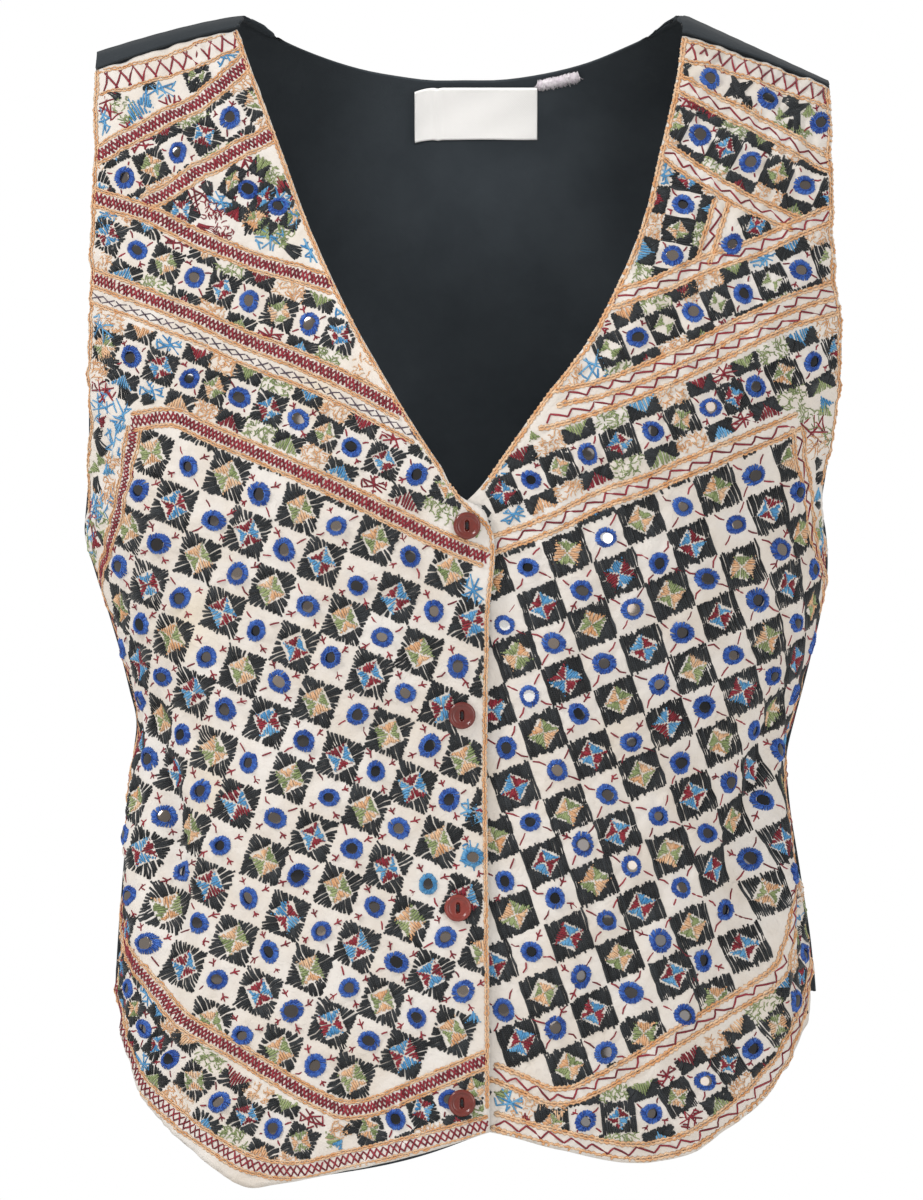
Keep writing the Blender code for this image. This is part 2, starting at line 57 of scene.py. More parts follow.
# Form of the garment, in millimetres, the same as its solids have. Flat places on a front
# are (out, down): out from the centre line over the cloth, down from the shoulder line.
form = {
    "sectionNames": ("drop", "front", "back", "reachRight", "reachLeft", "armFront", "armBack"),
    "sections": (
        (0, 0, 0, 185, 182.5, 0.50, 0.50),
        (3, 14, 15, 185, 183, 0.52, 0.52),
        (10, 27, 28, 185.5, 183.5, 0.54, 0.54),
        (25, 43, 46, 186, 184, 0.56, 0.56),
        (50, 61, 66, 186, 184, 0.57, 0.56),
        (90, 82, 86, 187, 184.5, 0.57, 0.54),
        (130, 100, 98, 188, 186, 0.54, 0.51),
        (165, 112, 105, 188.5, 189, 0.48, 0.46),
        (200, 120, 109, 188.5, 186, 0.40, 0.39),
        (230, 124, 110, 188.5, 180.5, 0.30, 0.30),
        (245, 125, 110, 189.5, 178.5, 0.21, 0.21),
        (253, 125, 109.5, 190, 179.5, 0.12, 0.12),
        (257, 125, 109, 190, 180, 0, 0),
        (277, 124, 107, 185, 181, 0, 0),
        (297, 122, 104, 178.5, 178, 0, 0),
        (317, 120, 101, 172.5, 173.5, 0, 0),
        (337, 118, 99, 167.5, 168.5, 0, 0),
        (352, 116, 98, 164, 164.5, 0, 0),
        (370, 115, 98, 165.5, 160.5, 0, 0),
        (390, 114, 99, 167.5, 161.5, 0, 0),
        (427, 114, 102, 170.5, 167, 0, 0),
        (467, 116, 106, 173.5, 173, 0, 0),
        (500, 117, 109, 175, 175.5, 0, 0),
        (590, 118, 112, 176, 176, 0, 0),
    ),
    "squareness": 0.10,
    "seamGap": 0.36,
    "shoulderGap": 0.8,
    "fallStart": 111.0,
    "fallRun": 73.0,
    "fallFade": 200.0,
    "backNeckDrop": 31.5,
    "backNeckCurve": 2.2,
    "quarterGirth": 232.0,
    "seamMiddle": 20.0,
    "frontWall": 1.5,
    "backWall": 1.2,
    "layerGap": 0.5,
    "liningWall": 1.0,
    "buttonStand": 14.0,
    "underlapRamp": 36.0,
    "shoulders": {
        "right": {"neck": 113.0, "fall": 18.0, "bend": 1.3, "seamNeck": 5.5, "seamTip": 10.0},
        "left": {"neck": 109.0, "fall": 33.5, "bend": 1.0, "seamNeck": 9.0, "seamTip": 3.0},
    },
    # neck and front edge, then hem, of each front as seen from the front
    "edges": {
        "right": (
            (115, 5), (108.5, 22.5), (100, 45), (90, 72.5), (75, 112.5), (57.5, 150), (35, 190),
            (12.5, 225), (-1, 243), (-8.5, 247), (-11.8, 254), (-12.2, 300), (-12.3, 557.5),
        ),
        "left": (
            (109, 8.5), (106.5, 27.5), (102.5, 47.5), (97, 70), (90, 100), (84, 117.5), (72.5, 142.5),
            (58.5, 167.5), (39, 192.5), (21, 217.5), (6, 238), (-8, 251), (-14, 262), (-14, 555),
        ),
    },
    "hems": {
        "right": (
            (-12.3, 557.5), (17, 567), (67, 578.5), (95, 584), (108, 585.5), (123, 577.5),
            (146.5, 557.5), (158, 545), (167, 527), (172, 510), (175, 494),
        ),
        "left": (
            (-14, 555), (12.2, 557.5), (47.5, 566.5), (95, 572.5), (114.5, 567.5), (129.5, 557.5),
            (142.5, 547.5), (152.5, 537.5), (161, 525), (169, 510), (173.5, 496), (175.5, 480),
        ),
        "back": ((0, 486), (60, 486.5), (120, 488), (160, 489), (175, 489)),
    },
    # folds: turn and down of both ends, half width and height; turn is 1 at the side seam
    "folds": {
        "front": (
            (-0.79, 335, -0.52, 480, 15, -7.0),
            (-0.93, 360, -0.70, 500, 17, 4.5),
            (-0.42, 400, -0.36, 540, 26, -2.5),
            (0.84, 330, 0.44, 488, 15, -8.0),
            (0.90, 370, 0.60, 520, 15, 5.0),
            (0.93, 380, 0.84, 480, 9, -5.0),
            (0.30, 420, 0.22, 540, 26, -2.5),
        ),
        "back": (
            (-0.40, 320, -0.50, 470, 24, -4.0),
            (0.34, 330, 0.46, 475, 26, -4.5),
            (-0.05, 300, 0.04, 470, 30, 3.0),
            (0.88, 320, 0.70, 440, 14, -4.0),
            (-0.88, 330, -0.74, 450, 14, -4.0),
        ),
    },
    "sideCrowding": 0.45,
    "neckShare": 0.56,
    "neckBackShare": 0.80,
    "neckCrowding": 1.8,
    "neckSettlesBy": 0.12,
    "evenBy": 0.62,
}
sides = {"right": -1, "left": 1}


def throughPoints(knots, values, at):  # cubic between table rows, with slopes from their neighbours
    knots = np.asarray(knots, float)
    values = np.asarray(values, float)
    slopes = np.gradient(values, knots)
    i = np.clip(np.searchsorted(knots, at, side="right") - 1, 0, len(knots) - 2)
    span = knots[i + 1] - knots[i]
    t = np.clip((at - knots[i]) / span, 0, 1)
    start = (2 * t ** 3 - 3 * t ** 2 + 1) * values[i] + (t ** 3 - 2 * t ** 2 + t) * span * slopes[i]
    return start + (3 * t ** 2 - 2 * t ** 3) * values[i + 1] + (t ** 3 - t ** 2) * span * slopes[i + 1]


def smoothStep(t):
    t = np.clip(t, 0, 1)
    return t * t * (3 - 2 * t)


def sideways(angle):  # share of a section's width: sin a (1 + s cos2 a), s the squareness
    return np.sin(angle) * (1 + form["squareness"] * np.cos(angle) ** 2)


def forwards(angle):  # share of a section's depth: cos a (1 + s sin2 a)
    return np.cos(angle) * (1 + form["squareness"] * np.sin(angle) ** 2)


sectionRows = dict(zip(form["sectionNames"], np.array(form["sections"], float).T))
levelKnots = np.hypot(np.diff(sectionRows["drop"]), np.diff(sectionRows["front"]))
levelKnots = np.concatenate(([0], np.cumsum(levelKnots)))
levelAxis = np.arange(0, levelKnots[-1], 1.0)
levelRows = {name: throughPoints(levelKnots, row, levelAxis) for name, row in sectionRows.items()}
for name in ("armFront", "armBack"):
    levelRows[name] = np.maximum(levelRows[name], 0)
angles = np.linspace(0, math.pi / 2, 721)


def atLevel(name, level):
    return np.interp(level, levelAxis, levelRows[name])


def levelOfDrop(drop):
    return np.interp(drop, levelRows["drop"], levelAxis)


def shoulderFall(x):  # how far the shoulder line has dropped below the neck points
    run = np.maximum(np.abs(x) - form["fallStart"], 0) / form["fallRun"]
    right, left = (side["fall"] * run ** side["bend"] for side in form["shoulders"].values())
    return np.where(x < 0, right, left)


def edgeAngle(level, face):  # where the armhole edge, or the side seam, is on a section
    share = np.maximum(atLevel("armFront" if face == "front" else "armBack", level),
                       form["seamGap"] / 2 / np.maximum(atLevel(face, level), 1))
    return np.interp(share, forwards(angles)[::-1], angles[::-1])


def sectionWidth(turn, level, face):
    reach = np.where(turn < 0, atLevel("reachRight", level), atLevel("reachLeft", level))
    return reach / sideways(edgeAngle(level, face))


def foldHeight(turn, down, folds):  # ridges and troughs, each tapered to its ends
    total = np.zeros(np.shape(turn))
    for turnTop, downTop, turnEnd, downEnd, halfWidth, height in folds:
        total = total + softRidge(turn * form["quarterGirth"], down, turnTop * form["quarterGirth"],
                                  downTop, turnEnd * form["quarterGirth"], downEnd, halfWidth, height)
    return total


def softRidge(across, down, acrossTop, downTop, acrossEnd, downEnd, halfWidth, height):
    run = np.array([acrossEnd - acrossTop, downEnd - downTop])
    length = np.hypot(*run)
    run = run / length
    t = ((across - acrossTop) * run[0] + (down - downTop) * run[1]) / length
    off = ((across - acrossTop) * run[1] - (down - downTop) * run[0]) / halfWidth
    return height * np.sin(np.pi * np.clip(t, 0, 1)) ** 0.8 * np.exp(-off ** 2)


def clothPoint(turn, level, face):
    # A section at this level: x = width * sideways(angle), y = depth * forwards(angle),
    # lowered by the fall of the shoulder and pushed out or in by the folds
    turn, level = np.broadcast_arrays(np.asarray(turn, float), np.asarray(level, float))
    way = -1.0 if face == "front" else 1.0
    depth = atLevel(face, level)
    width = sectionWidth(turn, level, face)
    angle = turn * edgeAngle(level, face)
    drop = atLevel("drop", level)
    x = width * sideways(angle)
    y = way * depth * forwards(angle)
    down = drop + shoulderFall(x) * np.maximum(1 - drop / form["fallFade"], 0) ** 2
    normal = np.stack([depth * np.sin(angle), way * width * np.cos(angle)], axis=-1)
    normal /= np.maximum(np.linalg.norm(normal, axis=-1, keepdims=True), 1e-9)
    out = foldHeight(turn, down, form["folds"][face])
    return np.stack([x + normal[..., 0] * out, y + normal[..., 1] * out, -down], axis=-1)


def levelAt(x, down):  # level of the cloth seen at this place from the front
    slope = shoulderFall(x)
    a = slope / form["fallFade"] ** 2
    b = 1 - 2 * slope / form["fallFade"]
    c = slope - down
    root = np.sqrt(np.maximum(b * b - 4 * a * c, 0))
    near = np.where(a > 1e-9, (root - b) / np.maximum(2 * a, 1e-9), -c)
    return levelOfDrop(np.maximum(np.where(near < form["fallFade"], near, down), 0))


def turnAt(x, level, face):
    share = np.abs(x) / sectionWidth(x, level, face)
    return np.sign(x) * np.interp(share, sideways(angles), angles) / edgeAngle(level, face)


def fullTurn(count):  # angles evenly round a circle
    return np.linspace(0, 2 * np.pi, count, endpoint=False)


def unit(vectors):
    return vectors / np.maximum(np.linalg.norm(vectors, axis=-1, keepdims=True), 1e-9)


def readTable(table, row, column):  # value between the four nearest entries
    row = np.clip(row, 0, table.shape[0] - 1.001)
    column = np.clip(column, 0, table.shape[1] - 1.001)
    i, j = row.astype(int), column.astype(int)
    f, g = row - i, column - j
    if table.ndim == 3:
        f, g = f[..., None], g[..., None]
    near = table[i, j] * (1 - f) + table[i + 1, j] * f
    return near * (1 - g) + (table[i, j + 1] * (1 - f) + table[i + 1, j + 1] * f) * g


# The flat place of the cloth: as seen from the front, until the cloth turns away by more than
# this, where the needlework is as wide as it is seen, in this share of the way over the cloth
sideStretch = 0.75
turnAxis = np.linspace(0, 1.05, 211)
flatAxis = np.arange(0, 246, 1.0)


def flatTables(side):
    turn = turnAxis[None, :] + 0 * levelAxis[:, None]
    level = levelAxis[:, None] + 0 * turn
    angle = turn * edgeAngle(level, "front")
    x = sectionWidth(turn * side, level, "front") * sideways(angle)
    y = atLevel("front", level) * forwards(angle)
    seen = np.diff(x, axis=1)
    over = np.cumsum(np.maximum(seen, sideStretch * np.hypot(seen, np.diff(y, axis=1))), axis=1)
    out = np.concatenate([np.zeros((len(levelAxis), 1)), over], axis=1)
    return {
        "out": out,
        "turn": np.array([np.interp(flatAxis, row, turnAxis) for row in out]),
        "x": np.array([np.interp(flatAxis, row, xs) for row, xs in zip(out, x)]),
    }


flatOf = {front: flatTables(side) for front, side in sides.items()}


def ofItsSide(name, across, level, column):  # a flat table's entry, with the sign of its side
    right, left = (readTable(flatOf[front][name], level, column) for front in sides)
    return np.sign(across) * np.where(across < 0, right, left)


def placeOfFlat(out, down):  # turn and level of a flat place, closing in on its level
    x = out
    for again in range(5):
        level = levelAt(x, down)
        x = ofItsSide("x", out, level, np.abs(out))
    return ofItsSide("turn", out, level, np.abs(out)), level


def flatPlace(turn, level):
    out = ofItsSide("out", turn, level, np.abs(turn) / turnAxis[1])
    return out, -clothPoint(turn, level, "front")[..., 2]


# The repeat of each front's large field: the flat place of one ring, and the steps to the
# next cell along a row and down a column. Ringed and dark cells take turns.
field = {
    "right": {"start": (-77.7, 295.2), "along": (18.5, 7.6), "across": (-7.1, 19.9)},
    "left": {"start": (95.1, 271.5), "along": (18.9, -7.9), "across": (6.4, 18.6)},
}

# Small creases, listed: out and down of both ends, half width, height
creases = {
    "right": (
        (-150, 250, -120, 330, 6, -1.6), (-165, 300, -128, 372, 5, -1.4),
        (-60, 470, -52, 550, 9, -1.5), (-20, 300, -34, 380, 6, -0.9),
        (-100, 180, -70, 215, 7, -1.0), (-140, 60, -120, 110, 8, 1.2),
        (-28, 404, -90, 414, 5, -0.8), (-120, 420, -96, 500, 7, -1.3),
        (-186, 330, -170, 420, 6, -1.6), (-150, 120, -176, 160, 7, -1.1),
        (-154, 368, -148, 505, 8, -3.6), (-167, 376, -160, 495, 7, 1.8),
        (-139, 380, -134, 480, 7, 1.2),
    ),
    "left": (
        (150, 260, 118, 330, 6, -1.7), (168, 330, 150, 420, 5, -1.8),
        (128, 340, 140, 470, 6, -1.4), (60, 300, 84, 372, 7, -0.9),
        (30, 440, 26, 520, 8, -1.3), (100, 150, 70, 190, 7, -1.0),
        (140, 70, 126, 120, 8, 1.2), (90, 430, 72, 520, 7, -1.2),
        (190, 320, 176, 400, 6, -1.5), (150, 120, 176, 165, 7, -1.1),
    ),
    "back": (
        (-60, 60, -90, 170, 16, -1.6), (55, 50, 96, 180, 18, -1.8),
        (-20, 120, -34, 280, 14, -1.2), (30, 140, 18, 300, 15, -1.4),
        (-120, 210, -60, 300, 10, -1.8), (128, 220, 70, 330, 11, -2.0),
        (-90, 340, -84, 470, 13, -2.2), (88, 350, 76, 480, 12, -2.0),
        (-10, 330, 10, 478, 16, 1.5), (-150, 300, -110, 430, 9, -2.2),
        (152, 290, 118, 410, 9, -2.4), (0, 30, 4, 150, 12, 1.0),
    ),
}
swelling = {
    "cell": 0.85,          # how much a ringed cell swells and a dark one sinks
    "rays": 0.55,          # wrinkles round each ring
    "rayCount": 7,
    "rayStart": 4.5,       # from the ring's middle, full over the next 2 mm
    "rayEnd": 12.0,        # fading over the last 4 mm
    "ripple": 0.30,
    "rippleLengths": (9.0, 12.5, 17.0),
    "overlapShare": 0.4,   # kept low where one front lies on the other
    "overlapEnd": 16.0,    # full height from 14 mm further out
}


def cellOf(front, out, down):  # steps along and across from the start of the repeat
    chart = field[front]
    (ax, ay), (bx, by) = chart["along"], chart["across"]
    dx, dy = out - chart["start"][0], down - chart["start"][1]
    det = ax * by - ay * bx
    return (dx * by - dy * bx) / det, (dy * ax - dx * ay) / det


def ringNear(i, j):  # the nearest cell whose two steps add up to an even number
    ni, nj = np.round(i), np.round(j)
    odd = (ni + nj) % 2 != 0
    byI = np.abs(i - ni) > np.abs(j - nj)
    ni = ni + np.where(odd & byI, np.where(i > ni, 1, -1), 0)
    nj = nj + np.where(odd & ~byI, np.where(j > nj, 1, -1), 0)
    return ni, nj


def relief(front, out, down):
    # Height over the plain form: cells swell as cos(pi i) cos(pi j), wrinkles run out from each
    # ring as sin(count * angle), with ripples between and creases laid over them
    i, j = cellOf(front, out, down)
    height = swelling["cell"] * np.cos(np.pi * i) * np.cos(np.pi * j)
    ni, nj = ringNear(i, j)
    chart = field[front]
    dx = (i - ni) * chart["along"][0] + (j - nj) * chart["across"][0]
    dy = (i - ni) * chart["along"][1] + (j - nj) * chart["across"][1]
    far = np.hypot(dx, dy)
    phase = (np.sin(ni * 12.99 + nj * 78.23) * 437.5) % 1 * 2 * np.pi
    halo = smoothStep((far - swelling["rayStart"]) / 2) * smoothStep((swelling["rayEnd"] - far) / 4)
    height = height + swelling["rays"] * halo * np.sin(swelling["rayCount"] * np.arctan2(dy, dx) + phase)
    for number, length in enumerate(swelling["rippleLengths"]):
        turn = 0.7 + 2.1 * number
        wave = out * math.cos(turn) + down * math.sin(turn) + 6 * np.sin(down / 23 + out / 31 + number)
        height = height + swelling["ripple"] * np.sin(2 * np.pi * wave / length)
    past = smoothStep((np.abs(out) - swelling["overlapEnd"]) / 14)
    height = height * (swelling["overlapShare"] + (1 - swelling["overlapShare"]) * past)
    for crease in creases[front]:
        height = height + softRidge(out, down, *crease)
    return height


def slopesOf(points):  # outward direction of a grid of points, first axis out, second down
    return unit(np.cross(np.gradient(points, axis=1), np.gradient(points, axis=0)))


surfaceSpan = {"right": (-226.0, 18.0), "left": (-20.0, 226.0), "down": (-2.0, 594.0)}


def frontSurface(front):
    # Points and outward directions of a front every millimetre of its flat place
    low, high = surfaceSpan[front]
    top, bottom = surfaceSpan["down"]
    out, down = np.meshgrid(np.arange(low, high), np.arange(top, bottom), indexing="ij")
    turn, level = placeOfFlat(out, down)
    points = clothPoint(turn, level, "front")
    if front == "left":
        full = form["frontWall"] + form["liningWall"] + 2 * form["layerGap"]
        below = full * (1 - smoothStep((points[..., 0] - form["buttonStand"]) / form["underlapRamp"]))
        points = points - slopesOf(points) * below[..., None]
    points = points + slopesOf(points) * relief(front, out, down)[..., None]
    return {"low": low, "top": top, "out": out, "down": down,
            "points": points, "normals": slopesOf(points)}


surface = {front: frontSurface(front) for front in sides}
print("cloth surfaces worked out")


def atFlat(front, table, out, down):  # entry of a table made for every millimetre of a front
    return readTable(table, out - surface[front]["low"], down - surface[front]["top"])


def onCloth(front, out, down, lift=0.0):
    normal = unit(atFlat(front, surface[front]["normals"], out, down))
    return atFlat(front, surface[front]["points"], out, down) + normal * np.asarray(lift)[..., None], normal


# Materials


def fromHex(code):  # sRGB hex to linear colour
    parts = [int(code[k:k + 2], 16) / 255 for k in (1, 3, 5)]
    return tuple(p / 12.92 if p <= 0.04045 else ((p + 0.055) / 1.055) ** 2.4 for p in parts) + (1.0,)


def addNode(tree, kind, settings=None, links=None):
    # A node with its settings, which are socket names or numbers or the node's own properties
    node = tree.nodes.new(kind)
    for name, value in (settings or {}).items():
        if isinstance(name, str) and name not in node.inputs:
            setattr(node, name, value)
    for name, value in (settings or {}).items():
        if not isinstance(name, str) or name in node.inputs:
            node.inputs[name].default_value = value
    for name, source in (links or {}).items():
        tree.links.new(source, node.inputs[name])
    return node


def addRamp(tree, source, first, last, *others):  # each stop is a place and a linear colour
    ramp = addNode(tree, "ShaderNodeValToRGB", links={0: source})
    stops = ramp.color_ramp.elements
    stops[0].position, stops[0].color = first
    stops[1].position, stops[1].color = last
    for place, colour in others:
        stops.new(place).color = colour
    return ramp.outputs["Color"]


def newMaterial(name, colour, roughness, settings=None):
    material = bpy.data.materials.new(name)
    material.use_nodes = True
    tree = material.node_tree
    shader = tree.nodes["Principled BSDF"]
    for socket, value in {"Base Color": colour, "Roughness": roughness, **(settings or {})}.items():
        shader.inputs[socket].default_value = value
    return material, tree, shader


def stitchParts(tree):  # X along a stitch in millimetres, Y across it, Z its own shade
    stitch = addNode(tree, "ShaderNodeAttribute", {"attribute_name": "stitch"})
    return addNode(tree, "ShaderNodeSeparateXYZ", links={0: stitch.outputs["Vector"]})


def threadMaterial(name, dark, light, roughness):
    # Stranded cotton floss, laid flat: each stitch takes its own tone, and its twist shows as
    # slanting ridges, whose grooves are also painted darker and tops lighter in the colour: painted shade.
    # The real twist is about 0.5 mm long, drawn at 1.1 mm so that it shows.
    material, tree, shader = newMaterial(name, fromHex(light), roughness, {
        "IOR": 1.53, "Specular IOR Level": 0.35, "Sheen Weight": 0.15, "Sheen Roughness": 0.4,
    })
    parts = stitchParts(tree)
    slant = addNode(tree, "ShaderNodeMath", {"operation": "MULTIPLY_ADD", 1: 3.6, 2: 0.0},
                    {0: parts.outputs["Y"]})
    along = addNode(tree, "ShaderNodeMath", {"operation": "MULTIPLY_ADD", 1: 2 * math.pi / 1.1},
                    {0: parts.outputs["X"], 2: slant.outputs[0]})
    twist = addNode(tree, "ShaderNodeMath", {"operation": "SINE"}, {0: along.outputs[0]})
    # the twist's sine also darkens the colour in its grooves and lightens it on its ridges, a painted
    # shade, on top of each stitch's own tone
    shade = addNode(tree, "ShaderNodeMath", {"operation": "MULTIPLY_ADD", 1: 0.10},
                    {0: twist.outputs[0], 2: parts.outputs["Z"]})
    colour = addRamp(tree, shade.outputs[0], (0.0, fromHex(dark)), (1.0, fromHex(light)))
    tree.links.new(colour, shader.inputs["Base Color"])
    bump = addNode(tree, "ShaderNodeBump", {"Strength": 0.5, "Distance": 0.15 * mm},
                   {"Height": twist.outputs[0]})
    tree.links.new(bump.outputs["Normal"], shader.inputs["Normal"])
    return material


def wovenBump(tree, spacing, strength, depth, extra=None):
    # Plain weave on the piece's own flat map: two sets of ridges a thread apart
    place = addNode(tree, "ShaderNodeUVMap", {"uv_map": "flat"})
    parts = addNode(tree, "ShaderNodeSeparateXYZ", links={0: place.outputs["UV"]})
    waves = []
    for socket in ("X", "Y"):
        scaled = addNode(tree, "ShaderNodeMath", {"operation": "MULTIPLY", 1: 2 * math.pi / (spacing * mm)},
                         {0: parts.outputs[socket]})
        waves.append(addNode(tree, "ShaderNodeMath", {"operation": "SINE"}, {0: scaled.outputs[0]}))
    weave = addNode(tree, "ShaderNodeMath", {"operation": "MULTIPLY"},
                    {0: waves[0].outputs[0], 1: waves[1].outputs[0]})
    return addNode(tree, "ShaderNodeBump", {"Strength": strength, "Distance": depth * mm},
                   {"Height": weave.outputs[0], **({"Normal": extra} if extra else {})})


def clothMaterial(name, base, patch, stain, roughness, crumple, sheen):
    # Plain-woven cotton: matt, softly mottled, with fine crumples. The real threads lie 0.35 mm
    # apart, drawn at 1 mm so that they show.
    material, tree, shader = newMaterial(name, fromHex(base), roughness, {
        "IOR": 1.5, "Specular IOR Level": 0.25, "Sheen Weight": sheen, "Sheen Roughness": 0.5,
    })
    place = addNode(tree, "ShaderNodeTexCoord")
    mottle = addNode(tree, "ShaderNodeTexNoise", {"Scale": 28.0, "Detail": 4.0, "Roughness": 0.6},
                     {"Vector": place.outputs["Object"]})
    mottled = addRamp(tree, mottle.outputs["Fac"], (0.36, fromHex(patch)), (0.62, fromHex(base)))
    spots = addNode(tree, "ShaderNodeTexNoise", {"Scale": 11.0, "Detail": 2.0, "Roughness": 0.5},
                    {"Vector": place.outputs["Object"]})
    spotShare = addNode(tree, "ShaderNodeMapRange", {"From Min": 0.62, "From Max": 0.78, "To Max": 0.7},
                        {"Value": spots.outputs["Fac"]})
    colour = addNode(tree, "ShaderNodeMix", {"data_type": "RGBA", 7: fromHex(stain)},
                     {0: spotShare.outputs["Result"], 6: mottled})
    tree.links.new(colour.outputs[2], shader.inputs["Base Color"])
    wrinkle = addNode(tree, "ShaderNodeTexNoise",
                      {"Scale": 190.0, "Detail": 3.0, "Roughness": 0.55, "Distortion": 0.6},
                      {"Vector": place.outputs["Object"]})
    creased = addNode(tree, "ShaderNodeBump", {"Strength": crumple, "Distance": 1.1 * mm},
                      {"Height": wrinkle.outputs["Fac"]})
    bump = wovenBump(tree, 1.0, 0.35, 0.08, creased.outputs["Normal"])
    tree.links.new(bump.outputs["Normal"], shader.inputs["Normal"])
    return material


creamCotton = clothMaterial("creamPlainCotton", "#F2ECE5", "#E9DFD3", "#EDD8B2", 0.85, 1.0, 0.15)
blackCotton = clothMaterial("blackPlainCotton", "#373D42", "#31373C", "#3C4247", 0.85, 0.30, 0.06)
threads = {
    "black": threadMaterial("blackCottonFloss", "#1B1E21", "#3C4145", 0.50),
    "royal": threadMaterial("royalBlueCottonFloss", "#1A459E", "#5386E0", 0.50),
    "sky": threadMaterial("skyBlueCottonFloss", "#3A8CC8", "#7CC0EC", 0.50),
    "red": threadMaterial("darkRedCottonFloss", "#761626", "#B03443", 0.50),
    "green": threadMaterial("oliveGreenCottonFloss", "#7C8F58", "#B9C68E", 0.50),
    "peach": threadMaterial("peachCottonFloss", "#EBAA70", "#FFDDB8", 0.50),
    "plum": threadMaterial("plumGreyCottonFloss", "#4A3C4C", "#71606F", 0.50),
}


def mirrorMaterial():
    # Small cut mirrors of silvered glass, old and unevenly tarnished: most read grey or brown, and a few
    # are painted near white, a painted reflection of the light
    material, tree, shader = newMaterial("silveredMirrorGlass", (0.3, 0.3, 0.3, 1), 0.12,
                                         {"Metallic": 0.85})
    # stops up to 0.86 are tarnish; the near-white stops at 0.93 and 1.0 paint a reflection of the light on
    # the chosen mirrors
    tarnishAndPaintedReflection = ((0.0, "#2E3033"), (1.0, "#FFFFFF"), (0.35, "#5E5A58"), (0.62, "#8A8078"),
               (0.86, "#A9A39C"), (0.93, "#F2F4F6"))
    stops = [(place, fromHex(code)) for place, code in tarnishAndPaintedReflection]
    colour = addRamp(tree, stitchParts(tree).outputs["Z"], *stops)
    tree.links.new(colour, shader.inputs["Base Color"])
    return material


mirrorGlass = mirrorMaterial()


# Meshes


def gridFaces(rows, columns, closed=False):  # quads of a grid of points stored row by row
    wide = columns if closed else columns - 1
    i = np.arange(rows - 1)[:, None] * columns
    first = np.arange(wide)[None, :]
    after = (first + 1) % columns
    return np.stack([i + first, i + after, i + after + columns, i + first + columns], -1).reshape(-1, 4)


def asRows(*columns):  # one row for each point
    return np.stack(columns, -1).reshape(-1, len(columns))


def gridShares(rows, columns):  # share of the way across and down at every point of a grid
    w, u = np.meshgrid(np.linspace(0, 1, rows), np.linspace(0, 1, columns), indexing="ij")
    return u, w


def makePiece(name, points, faces, material, uv=None, stitch=None):
    # points in millimetres, faces as arrays of equal-sided faces, uv and stitch for each point
    mesh = bpy.data.meshes.new(name)
    corners = np.concatenate([part.ravel() for part in faces]).astype(np.int32)
    counts = np.concatenate([np.full(len(part), part.shape[1]) for part in faces])
    starts = np.concatenate(([0], np.cumsum(counts)[:-1])).astype(np.int32)
    mesh.vertices.add(len(points))
    mesh.vertices.foreach_set("co", (points * mm).astype(np.float32).ravel())
    mesh.loops.add(len(corners))
    mesh.loops.foreach_set("vertex_index", corners)
    mesh.polygons.add(len(starts))
    mesh.polygons.foreach_set("loop_start", starts)
    mesh.update(calc_edges=True)
    if uv is not None:
        layer = mesh.uv_layers.new(name="flat")
        layer.data.foreach_set("uv", (uv * mm)[corners].astype(np.float32).ravel())
    if stitch is not None:
        layer = mesh.attributes.new("stitch", "FLOAT_VECTOR", "POINT")
        layer.data.foreach_set("vector", stitch.astype(np.float32).ravel())
    mesh.shade_smooth()
    for one in material if isinstance(material, list) else [material]:
        mesh.materials.append(one)
    piece = bpy.data.objects.new(name, mesh)
    bpy.context.scene.collection.objects.link(piece)
    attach(piece, body)
    return piece


def giveWall(piece, thickness, inside=0):
    wall = piece.modifiers.new("wall", "SOLIDIFY")
    wall.thickness = thickness * mm
    wall.offset = -1
    wall.material_offset = inside
    return piece


# Fronts


def edgeOfFront(front):
    out, down = np.array(form["edges"][front], float).T
    levels = levelAt(out * sides[front], down)
    turns = turnAt(out * sides[front], levels, "front") * sides[front]
    return lambda level: throughPoints(levels, turns, level)


def hemLevel(name, share):
    out, down = np.array(form["hems"][name], float).T
    return levelOfDrop(throughPoints(out, down, out[-1] * sideways(share * math.pi / 2)))


def seamLevel(x):
    found = []
    for shoulder, tip in zip(form["shoulders"].values(), ("reachRight", "reachLeft")):
        ends = levelOfDrop(np.array([shoulder["seamNeck"], shoulder["seamTip"]]))
        found.append(np.interp(np.abs(x), (shoulder["neck"], atLevel(tip, 0)), ends))
    return np.where(x < 0, found[0], found[1])


def crowdedSide(u):
    return np.sin(u * math.pi / 2) * form["sideCrowding"] + u * (1 - form["sideCrowding"])


frontCells = (104, 268)    # across, down


def frontFlat(front):
    # Flat place of every point of a front's own grid: u from the inner edge to the side,
    # w from the shoulder seam to the hem
    side = sides[front]
    inner = edgeOfFront(front)
    hemEdge, seamEdge = inner(levelAxis[-1]), inner(0.0)
    u, w = gridShares(frontCells[1] + 1, frontCells[0] + 1)
    u = crowdedSide(u) * 0.5 + u * 0.5
    w = w * (2 + w) / 3
    seamX = clothPoint((seamEdge + (1 - seamEdge) * u) * side, form["seamMiddle"], "front")[..., 0]
    top = seamLevel(seamX) + form["shoulderGap"] / 2
    level = top + (hemLevel(front, hemEdge + (1 - hemEdge) * u) - top) * w
    edge = inner(level)
    turn = (edge + (1 - edge) * u) * side
    return flatPlace(turn, level)


